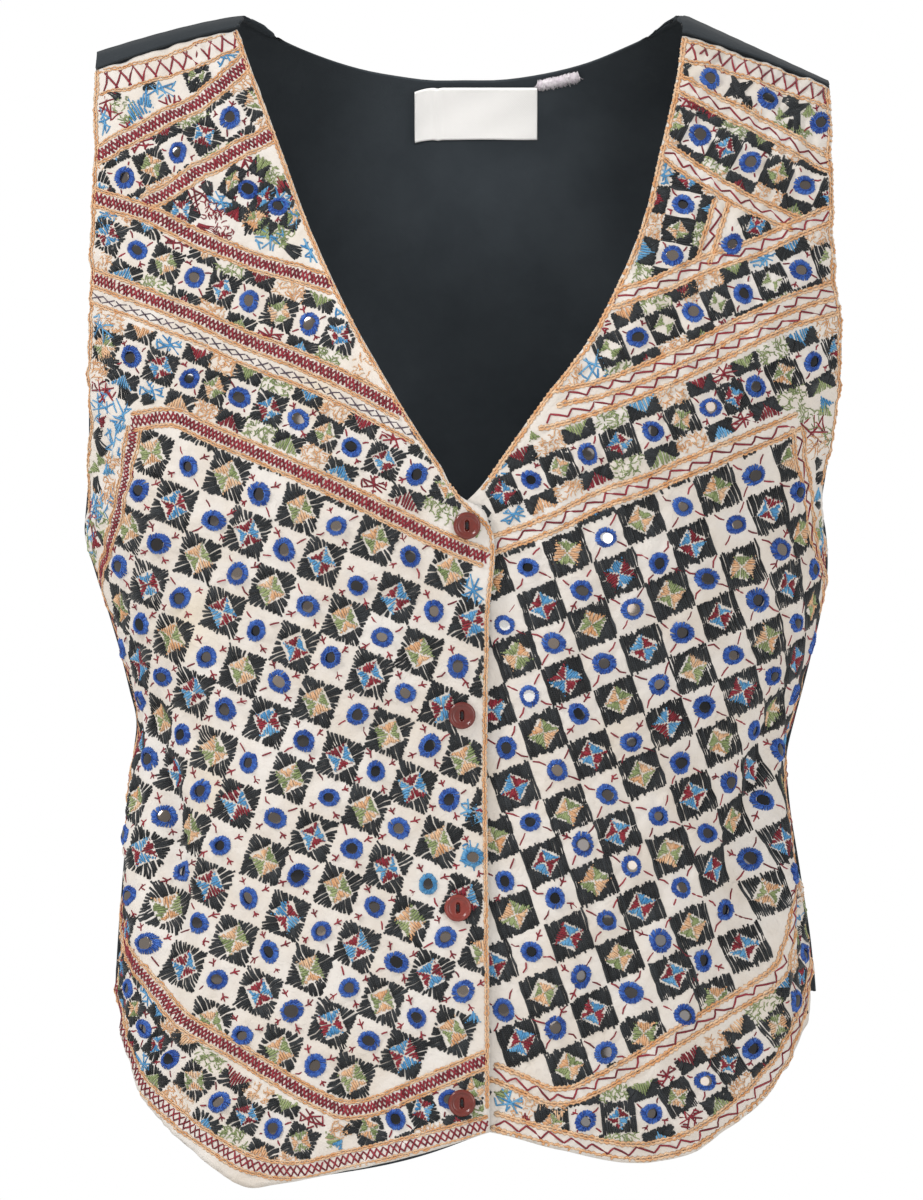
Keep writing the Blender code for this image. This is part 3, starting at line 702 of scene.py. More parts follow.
frontPieces, outlines, frontEdges = {}, {}, {}
for front, side in sides.items():
    out, down = frontFlat(front)
    points, normals = onCloth(front, out, down)
    faces = gridFaces(*out.shape)
    if side > 0:
        faces = faces[:, ::-1]
    piece = makePiece(f"front_{front}_cloth", points.reshape(-1, 3), [faces],
                      [creamCotton, blackCotton], asRows(out, -down))
    frontPieces[front] = giveWall(piece, clothWall, inside=1)
    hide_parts(f"front_{front}")
    places = np.stack([out, down], -1)
    edges = {"inner": places[:, 0], "side": places[:, -1], "shoulder": places[0], "hem": places[-1]}
    frontEdges[front] = edges
    outlines[front] = np.concatenate([edges["shoulder"][::4], edges["side"][::4],
                                      edges["hem"][::-4], edges["inner"][::-4]])
print("fronts made")


# Back


backCells = (150, 230)    # across, down
# The back's hem is turned up once and sewn down at a seam above its edge, with small tucks there
backHem = {"down": 486.5, "seam": 14.0, "thick": 0.5, "groove": 0.5, "tucks": 0.3}


def backFlat():
    # Columns run from the neck edge or the shoulder seam down to the hem. Levels turn negative
    # where the cloth goes forward over the shoulder line.
    u, w = gridShares(backCells[1] + 1, backCells[0] + 1)
    share = crowdedSide(np.linspace(-1, 1, backCells[0] + 1)) + 0 * u
    w = w * (1 + w) / 2
    size = np.abs(share)
    side = np.where(share < 0, -1.0, 1.0)
    right, left = form["shoulders"].values()
    neck = np.where(share < 0, right["neck"], left["neck"])
    tip = np.where(share < 0, atLevel("reachRight", 0), atLevel("reachLeft", 0))
    neckRun = size / form["neckShare"]
    rest = np.clip(1 - neckRun / form["neckBackShare"], 0, 1)
    neckX = neck * (1 - rest ** form["neckCrowding"])
    neckLevel = levelOfDrop(form["backNeckDrop"] * (1 - (neckX / neck) ** form["backNeckCurve"]))
    strap = np.clip((size - form["neckShare"]) / (1 - form["neckShare"]), 0, 1)
    inNeck = size < form["neckShare"]
    topX = np.where(inNeck, neckX, neck + (tip - neck) * strap)
    seam = form["shoulderGap"] / 2 - seamLevel(topX * side)
    over = np.clip((neckRun - form["neckBackShare"]) / (1 - form["neckBackShare"]), 0, 1)
    top = np.where(inNeck, neckLevel * (over <= 0) + seam * over, seam)
    level = top + (hemLevel("back", size) - top) * w
    topTurn = turnAt(topX * side, np.abs(top), "back") * side
    neckTurn = turnAt(neck * side, np.abs(seam), "back") * side
    evenTurn = np.where(inNeck, neckTurn * size / form["neckShare"], topTurn)
    turn = evenTurn + (size - evenTurn) * smoothStep(w / form["evenBy"])
    turn = turn + (topTurn - evenTurn) * np.clip(1 - w / form["neckSettlesBy"], 0, 1) ** 2
    return turn * side, level


turn, level = backFlat()
behind = clothPoint(turn, np.maximum(level, 0), "back")
before = clothPoint(turn, np.maximum(-level, 0), "front")
points = np.where((level >= 0)[..., None], behind, before)
wide, high = turn * form["quarterGirth"], -points[..., 2]
# Creases half as deep again as listed, long ripples down the back, and the hem's own relief
lift = 1.5 * sum(softRidge(wide, high, *crease) for crease in creases["back"])
ripples = 0.35 * np.sin(wide / 6 + 2 * np.sin(high / 40))
lift = lift + ripples * np.sin(high / 17 + 1.3 * np.sin(wide / 33))
toSeam = backHem["down"] - high - backHem["seam"]
lift = lift + backHem["thick"] * smoothStep((1 - toSeam) / 2)
lift = lift - backHem["groove"] * np.exp(-(toSeam / 2.2) ** 2)
tucks = backHem["tucks"] * np.exp(-((toSeam + 3) / 6) ** 2)
lift = lift + tucks * np.sin(wide / 1.9 + 2 * np.sin(wide / 11))
outward = slopesOf(points)
outward = outward * np.where((outward[..., 1] * points[..., 1]).sum() < 0, -1, 1)
lift = lift * smoothStep(level / 25) * smoothStep((1 - np.abs(turn)) / 0.05)
points = points + outward * lift[..., None]
faces = gridFaces(*turn.shape)[:, ::-1]
backPiece = makePiece("back_cloth", points.reshape(-1, 3), [faces], blackCotton, asRows(wide, -high))
onBack = {"points": points, "normals": outward}
giveWall(backPiece, clothWall)
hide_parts("back")
print("back made")


# Needlework


threadWork = {}
mirrors = {front: [] for front in sides}
rng = np.random.default_rng(1931)


def seenFromFront(*places):  # flat places of points given as they are seen from the front
    x, down = np.array(places, float).T
    level = levelAt(x, down)
    turn = np.clip(turnAt(x, level, "front"), -1, 1)
    return tuple(zip(flatPlace(turn, level)[0], down))


def distanceTo(line, out, down):  # least distance to a line of straight runs
    best = np.full(np.shape(out), 1e9)
    for (x0, y0), (x1, y1) in zip(line[:-1], line[1:]):
        dx, dy = x1 - x0, y1 - y0
        t = np.clip(((out - x0) * dx + (down - y0) * dy) / (dx * dx + dy * dy + 1e-9), 0, 1)
        best = np.minimum(best, np.hypot(out - x0 - t * dx, down - y0 - t * dy))
    return best


def insideDistance(ring, out, down):  # distance to a closed outline, negative outside it
    inside = np.zeros(np.shape(out), bool)
    closed = np.concatenate([ring, ring[:1]])
    for (x0, y0), (x1, y1) in zip(closed[:-1], closed[1:]):
        if y0 != y1:
            crosses = (y0 > down) != (y1 > down)
            inside ^= crosses & (out < (x1 - x0) * (down - y0) / (y1 - y0) + x0)
    far = distanceTo(closed, out, down)
    return np.where(inside, far, -far)


def evenly(line, step):
    # Places a step apart on a smooth line through a few points, with directions along and across
    line = np.asarray(line, float)
    way = np.concatenate(([0], np.cumsum(np.hypot(*np.diff(line, axis=0).T))))
    fine = np.linspace(0, way[-1], max(int(way[-1] * 2), 8))
    smooth = np.stack([throughPoints(way, line[:, k], fine) for k in (0, 1)], -1)
    run = np.concatenate(([0], np.cumsum(np.hypot(*np.diff(smooth, axis=0).T))))
    at = np.arange(step / 2, run[-1], step)
    place = np.stack([np.interp(at, run, smooth[:, k]) for k in (0, 1)], -1)
    ahead = np.stack([np.interp(at + 0.5, run, smooth[:, k]) for k in (0, 1)], -1)
    back = np.stack([np.interp(at - 0.5, run, smooth[:, k]) for k in (0, 1)], -1)
    along = unit(ahead - back)
    return place, along, np.stack([-along[:, 1], along[:, 0]], -1)


# Bands of each front: kind of stitching, half its width to the middle of the edging chains, and
# the line it follows. Beyond the first bend to the side the lines are flat places.
bands = {
    "right": {
        "shoulder": ("crosses", 5.6, seenFromFront((-184, 33.5), (-152.5, 26), (-132.5, 19), (-114, 10.5))),
        "upperChest": ("herringbone", 4.1, seenFromFront((-187, 71), (-157.5, 55), (-132.5, 42.5),
                                                         (-108, 21.5))),
        "branch": ("herringbone", 4.1, seenFromFront((-160, 95), (-137.5, 81.5), (-117.5, 70), (-96, 59))),
        "chest": ("herringbone", 4.1, seenFromFront((-187, 90.5), (-157.5, 100), (-132.5, 112.5),
                                                    (-107.5, 122.5), (-66, 135))),
        "bust": ("herringbone", 4.1, seenFromFront((-187, 131), (-157.5, 142), (-132.5, 152),
                                                   (-107.5, 163.5), (-82.5, 173), (-57.5, 184.5),
                                                   (-30, 199))),
        "bustEdge": ("diamonds", 3.4, seenFromFront((-187, 140), (-157.5, 151), (-132.5, 161),
                                                    (-107.5, 172.5), (-82.5, 182), (-57.5, 193.5),
                                                    (-24, 211))),
        "fieldTop": ("herringbone", 4.1, seenFromFront((-166, 203.5), (-142.5, 202), (-132.5, 207),
                                                       (-107.5, 217.5), (-82.5, 228.5), (-57.5, 240),
                                                       (-32.5, 252.5), (-12.5, 262.5), (11, 272))),
        "fieldSide": ("narrow", 3.1, seenFromFront((-165, 206), (-169, 227.5), (-174, 250), (-179, 268))
                      + ((-205, 284), (-205, 300), (-198, 330), (-193, 360), (-192, 400), (-194, 430),
                         (-190, 452), (-182, 466))),
        "fieldBottom": ("herringbone", 4.0, ((-182, 466),) + seenFromFront(
            (-165, 471), (-152.5, 490), (-141.5, 502), (-115.5, 517), (-90.5, 532), (-72, 542),
            (-59.5, 546.5), (-47, 545), (-28, 537.5), (11, 521))),
        "hem": ("openCrosses", 4.0, ((-206, 479), (-192, 499), (-181, 513), (-166, 533), (-145, 550),
                                     (-127.5, 562.5), (-107.5, 573.5), (-87.5, 577), (-57.5, 571),
                                     (-17.5, 561.5), (12, 553.5))),
    },
    "left": {
        "shoulder": ("crosses", 5.2, seenFromFront((108, 16.5), (127.5, 21.5), (152.5, 29.5), (184, 41))),
        "upperChest": ("zigzag", 3.8, seenFromFront((105, 32.5), (127.5, 45), (152.5, 57.5), (186, 75.5))),
        "branch": ("zigzag", 3.8, seenFromFront((97, 66), (117.5, 80), (137.5, 92.5), (166, 104.5))),
        "post": ("zigzag", 3.4, seenFromFront((128, 93), (124, 107), (119, 123))),
        "chest": ("zigzag", 3.8, seenFromFront((69, 144), (97.5, 135), (120, 125), (142.5, 117.5),
                                               (167.5, 106), (186, 99))),
        "bust": ("zigzag", 3.7, seenFromFront((45, 192), (67.5, 187), (107.5, 171), (137.5, 156),
                                              (162.5, 144.5), (187, 137))),
        "bustEdge": ("zigzag", 3.7, seenFromFront((36, 204), (67.5, 194.7), (107.5, 178.8), (137.5, 163.8),
                                                  (162.5, 152.3), (187, 144.8))),
        "fieldTop": ("zigzag", 3.9, seenFromFront((12, 266), (47.5, 252.5), (67.5, 242.5), (92.5, 234),
                                                  (117.5, 223.5), (142.5, 213.5), (166, 203.5))),
        "fieldSide": ("zigzag", 3.0, seenFromFront((166, 206), (168.5, 225), (172, 245), (176, 268))
                      + ((207, 286), (207, 302), (201, 330), (194, 360), (190, 400))
                      + seenFromFront((166, 428), (160, 452), (158, 466))),
        "fieldBottom": ("zigzag", 3.8, seenFromFront((158, 466), (156, 476), (150, 483), (137, 492),
                                                     (122.5, 500.5), (108.5, 509), (88, 522), (65, 534),
                                                     (51, 539.5), (42, 539.5), (30, 534), (13, 527))),
        "hem": ("zigzag", 3.8, ((206, 464), (195, 480), (181, 495), (166, 514), (153, 530), (137.5, 545),
                                (112.5, 561.5), (92.5, 567), (47.5, 561), (13, 551.5))),
    },
}
bandKinds = {
    # pitch, reach across as a share of the half width, lean, thread width, colour
    "herringbone": {"pitch": 2.05, "reach": 0.62, "lean": 2.5, "thread": 1.12, "colour": "red"},
    "narrow": {"pitch": 2.0, "reach": 0.50, "lean": 2.2, "thread": 0.95, "colour": "red"},
    "openCrosses": {"pitch": 3.4, "reach": 0.62, "lean": 3.4, "thread": 1.0, "colour": "red"},
    "crosses": {"pitch": 6.9, "reach": 0.80, "lean": 4.5, "thread": 1.2, "colour": "red"},
    "diamonds": {"pitch": 6.4, "reach": 0.46, "lean": 5.8, "thread": 0.75, "colour": "plum"},
    "zigzag": {"pitch": 11.4, "reach": 0.46, "lean": 4.2, "thread": 1.1, "colour": "red"},
}
buttons = {
    "places": ((1.0, 255.5), (-1.5, 350), (-3.5, 446), (-1.5, 543)),   # across, down
    "clear": 5.8,
}
underlapEdge = 8.0      # the left front is sewn only beyond this, where the right one ends


def fieldRing(front):  # closed outline of the large field, along the middle of its bands
    top, side, bottom = (evenly(bands[front][name][2], 4.0)[0]
                         for name in ("fieldTop", "fieldSide", "fieldBottom"))
    beyond = -30.0 * sides[front]
    top = top[::-1] if front == "right" else top
    return np.concatenate([[(beyond, top[0][1])], top, side, bottom, [(beyond, bottom[-1][1])]])


def limitsOf(front):
    # For every flat place: distance inside the outline, inside the large field, and past the bands
    grid = surface[front]
    out, down = grid["out"], grid["down"]
    past = np.full(out.shape, 1e9)
    for kind, half, line in bands[front].values():
        past = np.minimum(past, distanceTo(evenly(line, 5.0)[0], out, down) - half)
    return np.stack([insideDistance(outlines[front], out, down),
                     insideDistance(fieldRing(front), out, down), past], -1)


limits = {front: limitsOf(front) for front in sides}
print("limits of the needlework worked out")


def hasRoom(front, places, edge=2.6, inField=None, band=0.9):
    here = atFlat(front, limits[front], places[..., 0], places[..., 1])
    fine = here[..., 0] > edge
    if inField is not None:
        fine &= (here[..., 1] > 0) == inField
    if band is not None:
        fine &= here[..., 2] > band
    if front == "left":
        return fine & (places[..., 0] > underlapEdge)
    for x, down in buttons["places"]:
        fine &= np.hypot(places[..., 0] - x, places[..., 1] - down) > buttons["clear"]
    return fine


def alongStitch(paths, t):  # places on the smooth curve through a stitch's start, middle and end
    t = t[..., None]
    return (paths[:, None, 0] * 2 * (t - 0.5) * (t - 1) + paths[:, None, 1] * 4 * t * (1 - t)
            + paths[:, None, 2] * 2 * t * (t - 0.5))


def sew(front, colour, paths, width, height, lift, tone, trim=True, **rules):
    # paths hold each stitch's start, middle and end; the other values are for those three.
    # A stitch is cut back to its longest stretch with room.
    paths = np.asarray(paths, float).reshape(-1, 3, 2)
    count, samples = len(paths), 9
    parts = [np.broadcast_to(v, (count, 3)) for v in (width, height, lift)]
    tone = np.clip(np.ravel(tone), 0, 1)
    t = np.linspace(0, 1, samples)
    fine = hasRoom(front, alongStitch(paths, t[None] + np.zeros((count, 1))), **rules)
    run, best, last = np.zeros(count), np.zeros(count), np.zeros(count)
    for k in range(samples):
        run = np.where(fine[:, k], run + 1, 0)
        last = np.where(run > best, k, last)
        best = np.maximum(best, run)
    keep = best >= (3 if trim else samples)
    first = (last - best + 1) / (samples - 1)
    ends = np.stack([first, (first + last / (samples - 1)) / 2, last / (samples - 1)], -1)
    block = (alongStitch(paths, ends)[keep], *(part[keep] for part in parts), tone[keep])
    threadWork.setdefault((front, colour), []).append(block)


def between(start, end, bow=0.0):  # stitches from start to end, bowed sideways
    start, end = np.broadcast_arrays(start, end)
    run = end - start
    middle = (start + end) / 2 + np.stack([-run[..., 1], run[..., 0]], -1) * np.asarray(bow)[..., None]
    return np.stack([start, middle, end], axis=-2)


chainLook = {    # how far a link's threads part, how far its ends lie apart, and their width
    "right": {"open": 0.42, "ends": 0.30, "thread": (0.85, 1.2, 0.85)},
    "left": {"open": 0.52, "ends": 0.38, "thread": (1.15, 1.6, 1.15)},
}


def chain(front, line, shift, colour="peach", pitch=2.7, **rules):
    # Chain stitch: every link is two threads that part and meet again
    look = chainLook[front]
    place, along, across = evenly(line, pitch)
    place = place + across * shift + rng.normal(0, 0.12, place.shape)
    for way in (-1, 1):
        start = place - along * pitch * 0.6 + across * way * look["ends"]
        end = place + along * pitch * 0.65 + across * way * look["ends"] * 0.67
        bow = way * look["open"] / pitch * rng.uniform(0.6, 1.3, len(place))
        sew(front, colour, between(start, end, bow), look["thread"], 0.42, (0.05, 0.28, 0.15),
            rng.random(len(place)), **rules)


def crossed(front, line, half, kind):
    # Herringbone and crosses: threads lean both ways between the two edges, over each other
    place, along, across = evenly(line, kind["pitch"])
    reach = half * kind["reach"]
    for way in (-1, 1):
        if kind["pitch"] > 6.5 and way > 0:
            place = place + along * kind["pitch"] / 2
        wobble = rng.normal(0, 0.22, (4, len(place), 1))
        start = place - along * (kind["lean"] / 2 + wobble[0]) - across * way * (reach + wobble[1])
        end = place + along * (kind["lean"] / 2 + wobble[2]) + across * way * (reach + wobble[3])
        sew(front, kind["colour"], between(start, end, rng.normal(0, 0.03, len(place))),
            (kind["thread"] * 0.85, kind["thread"], kind["thread"] * 0.85), 0.45,
            (0.0, 0.35 if way > 0 else 0.15, 0.0), rng.random(len(place)), edge=0.8, band=None)


def zigzag(front, line, half, kind):
    # One thread that turns at each edge in turn, one run of each pair steeper than the other
    place, along, across = evenly(line, kind["pitch"] / 2)
    reach = half * kind["reach"]
    way = np.where(np.arange(len(place)) % 2 == 0, 1.0, -1.0)[:, None]
    turns = place + across * way * reach + along * way * 1.3 + rng.normal(0, 0.35, place.shape)
    sew(front, kind["colour"], between(turns[:-1], turns[1:], rng.normal(0, 0.04, len(turns) - 1)),
        (1.0, kind["thread"], 1.0), 0.5, (0.08, 0.2, 0.08), rng.random(len(turns) - 1), edge=0.8, band=None)


for front in sides:
    for name, (kindName, half, line) in bands[front].items():
        sewBand = zigzag if kindName == "zigzag" else crossed
        sewBand(front, line, half, bandKinds[kindName])
        for way in (-1, 1):
            if name == "bustEdge" and way < 0:
                continue
            chain(front, line, way * half, edge=0.8, band=None)
    for name, way in (("inner", 1), ("side", -1)):
        line = frontEdges[front][name]
        line = line[line[:, 1] < (556 if name == "inner" else 250)]
        chain(front, line[::8], -1.3 * way * sides[front], edge=0.2, band=None)
print("bands sewn")


def turned(vectors):  # a quarter turn
    return np.stack([-vectors[..., 1], vectors[..., 0]], -1)


def corners(a, b):
    return a + b, b - a, -a - b, a - b


def shades(low, high, spread, shape):  # each motif's own shade, and each stitch a little off it
    return rng.uniform(low, high, (shape[0], 1)) + rng.normal(0, spread, shape)


def satin(front, colour, tips, first, second, count, thread, rules):
    # Satin triangle: parallel stitches from its outer side, which runs from first to second,
    # in to the two lines that meet at its tip
    s = ((np.arange(count) + 0.5) / count)[None, :, None]
    first, second = first[:, None], second[:, None]
    base = first + (second - first) * s
    inner = np.where(s < 0.5, first * (1 - 2 * s), second * (2 * s - 1))
    shake = rng.normal(0, 1, (len(tips), count, 3, 1))
    outward = unit(first + second)
    grown = rng.uniform(0.78, 1.08, (len(tips), 1, 1))
    start = tips[:, None] + inner * grown + outward * (0.5 + 0.25 * shake[:, :, 0])
    end = tips[:, None] + base * grown + outward * 0.45 * shake[:, :, 1]
    end = end + turned(outward) * 0.3 * shake[:, :, 2]
    sew(front, colour, between(start, end), (thread * 0.8, thread, thread * 0.85), 0.5, (0.0, 0.35, 0.0),
        shades(0.3, 0.75, 0.16, (len(tips), count)), **rules)


def cornerFill(front, centres, first, second, inset, count, thread, rules):
    # Black corner of a dark cell: stitches spread from the coloured square's side, which runs
    # from first to second and is drawn in by the inset, out to the cell's own corner
    s = ((np.arange(count) + 0.5) / count)[None, :, None]
    s = np.clip(s + rng.normal(0, 0.22 / count, (len(centres), count, 1)), 0, 1)
    first, second = first[:, None], second[:, None]
    spread = rng.uniform(0.86, 1.0, (len(centres), 1, 1))
    shift = rng.normal(0, 0.05, (len(centres), 1, 1))
    t = np.clip(0.5 + (s - 0.5) * spread + shift, 0, 1)
    start = (first + (second - first) * t) * (inset + rng.normal(0, 0.02, s.shape))
    out = np.where(s < 0.5, 0.02 + 1.96 * s, 1.98 - 1.96 * s)
    end = np.where(s < 0.5, first + second * out, first * out + second)
    end = end * (1 + rng.normal(0, 0.035, s.shape))
    bow = rng.normal(0, 0.05, (len(centres), 1)) + rng.normal(0, 0.03, s.shape[:2])
    sew(front, "black", between(centres[:, None] + start, centres[:, None] + end, bow),
        (thread * 0.85, thread * 1.05, thread), 0.5, (0.0, 0.2, 0.0),
        shades(0.15, 0.65, 0.18, s.shape[:2]), **rules)


def columnFill(front, centres, a, b, look, rules):
    # Black ground of a dark cell as columns beside each other: stitches along b, from both ends
    # of the cell in to the coloured square, whose half height at a share s along a is square - |s|
    count = look["black"]
    s = np.linspace(-0.97, 0.97, count)[None, :, None]
    s = s + rng.normal(0, 0.16 / count, (len(centres), count, 1))
    a, b = a[:, None], b[:, None]
    for way in (-1, 1):
        shake = rng.normal(0, 1, (len(centres), count, 2, 1))
        inner = np.maximum(look["square"] * 1.04 - np.abs(s), 0.0) + 0.02 * shake[:, :, 0]
        start = a * (s * 0.99) + b * way * inner
        end = a * s + b * way * (1.0 + 0.06 * shake[:, :, 1])
        tones = shades(0.1, 0.6, 0.22, s.shape[:2])
        bow = rng.normal(0, 0.025, s.shape[:2])
        sew(front, "black", between(centres[:, None] + start, centres[:, None] + end, bow),
            (1.1, look["blackThread"], 1.05), 0.5, (0.0, 0.2, 0.0), tones, **rules)


def darkCells(front, centres, a, b, look, colours, rules):
    # A dark cell: a square of four satin triangles with its tips at the middles of the cell's
    # sides, and black corners. a and b are the steps from the middle to two of those sides.
    if not len(centres):
        return
    a, b = np.broadcast_to(a, centres.shape), np.broadcast_to(b, centres.shape)
    size = look["square"] * rng.uniform(0.88, 1.08, (len(centres), 1))
    lean = rng.normal(0, look["lean"], (len(centres), 1))
    if front == "left":
        columnFill(front, centres, a, b, look, rules)
    for number, (first, second) in enumerate(((a, b), (b, -a), (-a, -b), (-b, a))):
        if front == "right":
            cornerFill(front, centres, first, second, look["square"] * 1.03, look["black"],
                       look["blackThread"], rules)
        if colours[number % 2]:
            satin(front, colours[number % 2], centres, first * size + second * lean * size,
                  second * size - first * lean * size, look["satin"], look["satinThread"], rules)


ringSize = {"mirror": 2.75, "crest": 4.2, "outer": 5.35, "stitches": 32, "rope": 13}


def ring(front, colour, centres, scale, rules):
    # A mirror held by a raised ring: buttonhole stitches that lean a little one way, and a rope
    # of short stitches round the inner edge
    count = ringSize["stitches"]
    scale = scale[:, None]
    turn = rng.random((len(centres), 1)) * 6
    flatten = 0.05 + 0.05 * rng.random((len(centres), 1))

    def at(radius, angle):
        oval = 1 + flatten * np.cos(2 * (angle - turn)) + 0.02 * np.cos(3 * angle + turn)
        far = (radius * oval * scale)[..., None]
        return centres[:, None] + np.stack([np.cos(angle), np.sin(angle)], -1) * far

    angle = fullTurn(count) + turn + rng.normal(0, 0.03, (len(centres), count))
    shake = rng.normal(0, 0.16, (len(centres), count))
    paths = np.stack([at(ringSize["mirror"] + shake * 0.3, angle), at(ringSize["crest"], angle + 0.14),
                      at(ringSize["outer"] + shake, angle + 0.26)], axis=-2)
    sew(front, colour, paths, (0.7, 1.1, 1.05), (0.45, 0.6, 0.4), (0.5, 0.75, 0.0),
        shades(0.3, 0.6, 0.26, paths.shape[:2]), trim=False, **rules)
    count = ringSize["rope"]
    angle = fullTurn(count) + turn
    step = 2 * np.pi / count
    paths = np.stack([at(ringSize["mirror"] + more, angle + step * way * 0.62)
                      for way, more in ((-1, 0.05), (0, 0.55), (1, 0.35))], axis=-2)
    sew(front, colour, paths, (0.7, 0.95, 0.7), 0.55, (0.75, 0.95, 0.8),
        shades(0.1, 0.5, 0.22, paths.shape[:2]), trim=False, **rules)


def ticks(front, centres, directions, sizes, forked):
    # Short dark red stitches that point from the ring to the cell's corners
    near, far = sizes
    shake = rng.normal(0, 0.6, (len(centres), 2, 2))
    start = centres + directions * near + shake[:, 0] * 0.6
    end = centres + directions * far + shake[:, 1]
    rules = {"edge": 1.6, "band": 0.2}
    sew(front, "red", between(start, end, rng.normal(0, 0.09, len(centres))), (0.8, 0.95, 0.75), 0.42,
        (0.0, 0.15, 0.0), rng.random(len(centres)), **rules)
    chosen = rng.random(len(centres)) < forked
    side = turned(directions)
    for way in (-1, 1):
        root = (start + (end - start) * 0.4)[chosen]
        tip = root + (directions * 1.3 + side * way * 1.7)[chosen]
        sew(front, "red", between(root, tip), 0.8, 0.38, (0.05, 0.12, 0.0), rng.random(len(root)), **rules)


def net(front, colour, centres, along, across, size, rules):
    # Open filling: a leaning cross whose ends are closed into small triangles, with a long stitch
    plan = np.array([
        ((-1, -0.9), (1, 0.9)), ((-1, 0.9), (1, -0.9)), ((1, -0.9), (1.25, -0.1)),
        ((1.25, -0.1), (0.45, -0.4)), ((-1, 0.9), (-1.25, 0.1)), ((-1.25, 0.1), (-0.45, 0.4)),
        ((-1.5, -0.05), (1.5, 0.1)),
        ((-0.1, -1.1), (0.1, 1.1)), ((0.5, 0.45), (0.1, 1.1)), ((-0.5, -0.45), (-0.1, -1.1)),
    ], float)
    shake = rng.normal(0, 0.14, (len(centres), len(plan), 2, 2))
    spots = plan[None] + shake
    places = (centres[:, None, None] + spots[..., :1] * along[:, None, None] * size
              + spots[..., 1:] * across[:, None, None] * size)
    paths = between(places[:, :, 0], places[:, :, 1], rng.normal(0, 0.06, places.shape[:2]))
    thread = 1.05
    sew(front, colour, paths, (thread * 0.85, thread, thread * 0.85), 0.42, (0.0, 0.2, 0.0),
        rng.random(paths.shape[:2]), **rules)


def scribble(front, colour, centres, along, across, size, rules, count=44):
    # A dense curly net: short bowed stitches at all angles
    spread = rng.uniform(-1, 1, (len(centres), count, 2))
    spot = centres[:, None] + spread[..., :1] * along[:, None] * size[0]
    spot = spot + spread[..., 1:] * across[:, None] * size[1]
    angle = rng.random((len(centres), count)) * 2 * np.pi
    run = np.stack([np.cos(angle), np.sin(angle)], -1) * rng.uniform(0.9, 2.1, (len(centres), count, 1))
    paths = between(spot - run, spot + run, rng.uniform(-0.35, 0.35, (len(centres), count)))
    sew(front, colour, paths, (0.52, 0.68, 0.52), 0.34, (0.0, 0.2, 0.0),
        rng.random(paths.shape[:2]), **rules)


def bunch(front, colour, centres, directions, sizes, count, thread, rules):
    # Lone fan: long stitches side by side, drawn together at one end.
    # sizes: length, half width at the near end, half width at the far end
    length, near, far = sizes
    t = np.linspace(-1, 1, count)[None, :, None]
    c, d, s = centres[:, None], directions[:, None], turned(directions)[:, None]
    shake = rng.normal(0, 0.4, (len(centres), count, 2))
    start = c - d * (length / 2 + shake[..., :1] * 0.5) + s * near * t
    end = c + d * (length / 2 * (1.1 - 0.35 * t ** 2) + shake[..., 1:]) + s * far * t
    tones = shades(0.2, 0.6, 0.18, (len(centres), count))
    sew(front, colour, between(start, end, rng.normal(0, 0.05, (len(centres), count))),
        (thread * 0.8, thread, thread * 0.85), 0.5, (0.0, 0.2, 0.0), tones, **rules)


def star(front, centres, a, b, rules):
    # Lone black star: four bunches that taper from its middle out to the cell's corners
    for corner in corners(a, b):
        way = unit(corner)
        bunch(front, "black", centres + way * 3.8, way, (8.0, 2.4, 0.4), 8, 1.3, rules)


# Large fields


fieldLook = {
    # square: how much of the way to the cell's sides the coloured square reaches; black and satin:
    # stitches to a corner. kinds: the colours at corners a + b and a - b, for even and odd rows,
    # and the share of cells that have them the other way round
    "right": {"square": 0.80, "black": 13, "blackThread": 1.22, "satin": 9, "satinThread": 1.35,
              "lean": 0.14, "kinds": (("peach", "green"), ("red", "sky")), "swapped": (0.0, 0.25),
              "tick": (7.0, 11.4), "forked": 0.75},
    "left": {"square": 0.76, "black": 21, "blackThread": 1.42, "satin": 11, "satinThread": 1.3,
             "lean": 0.22, "kinds": (("red", "sky"), ("peach", "green")), "swapped": (0.4, 0.4),
             "tick": (6.3, 11.8), "forked": 0.12},
}
skyRings = seenFromFront((4.5, 423), (-22.5, 433))
# Mirrors painted near white: a painted reflection of the light
mirrorsWithPaintedReflection = {
    "right": (), "left": seenFromFront((74, 261), (21.5, 299.5), (32.5, 343.5), (62.5, 353.5)),
}


cellReach = 14.0        # cells whose middles lie this far outside the field still reach into it


def fieldCells(front):
    chart = field[front]
    i, j = np.meshgrid(np.arange(-16, 17), np.arange(-16, 17), indexing="ij")
    i, j = i.ravel(), j.ravel()
    place = (np.array(chart["start"]) + i[:, None] * np.array(chart["along"])
             + j[:, None] * np.array(chart["across"]))
    place = place + rng.normal(0, 0.9, place.shape)
    near = atFlat(front, limits[front], place[:, 0], place[:, 1])
    reach = (near[:, :2] > -cellReach).all(axis=1)
    return i[reach], j[reach], place[reach]


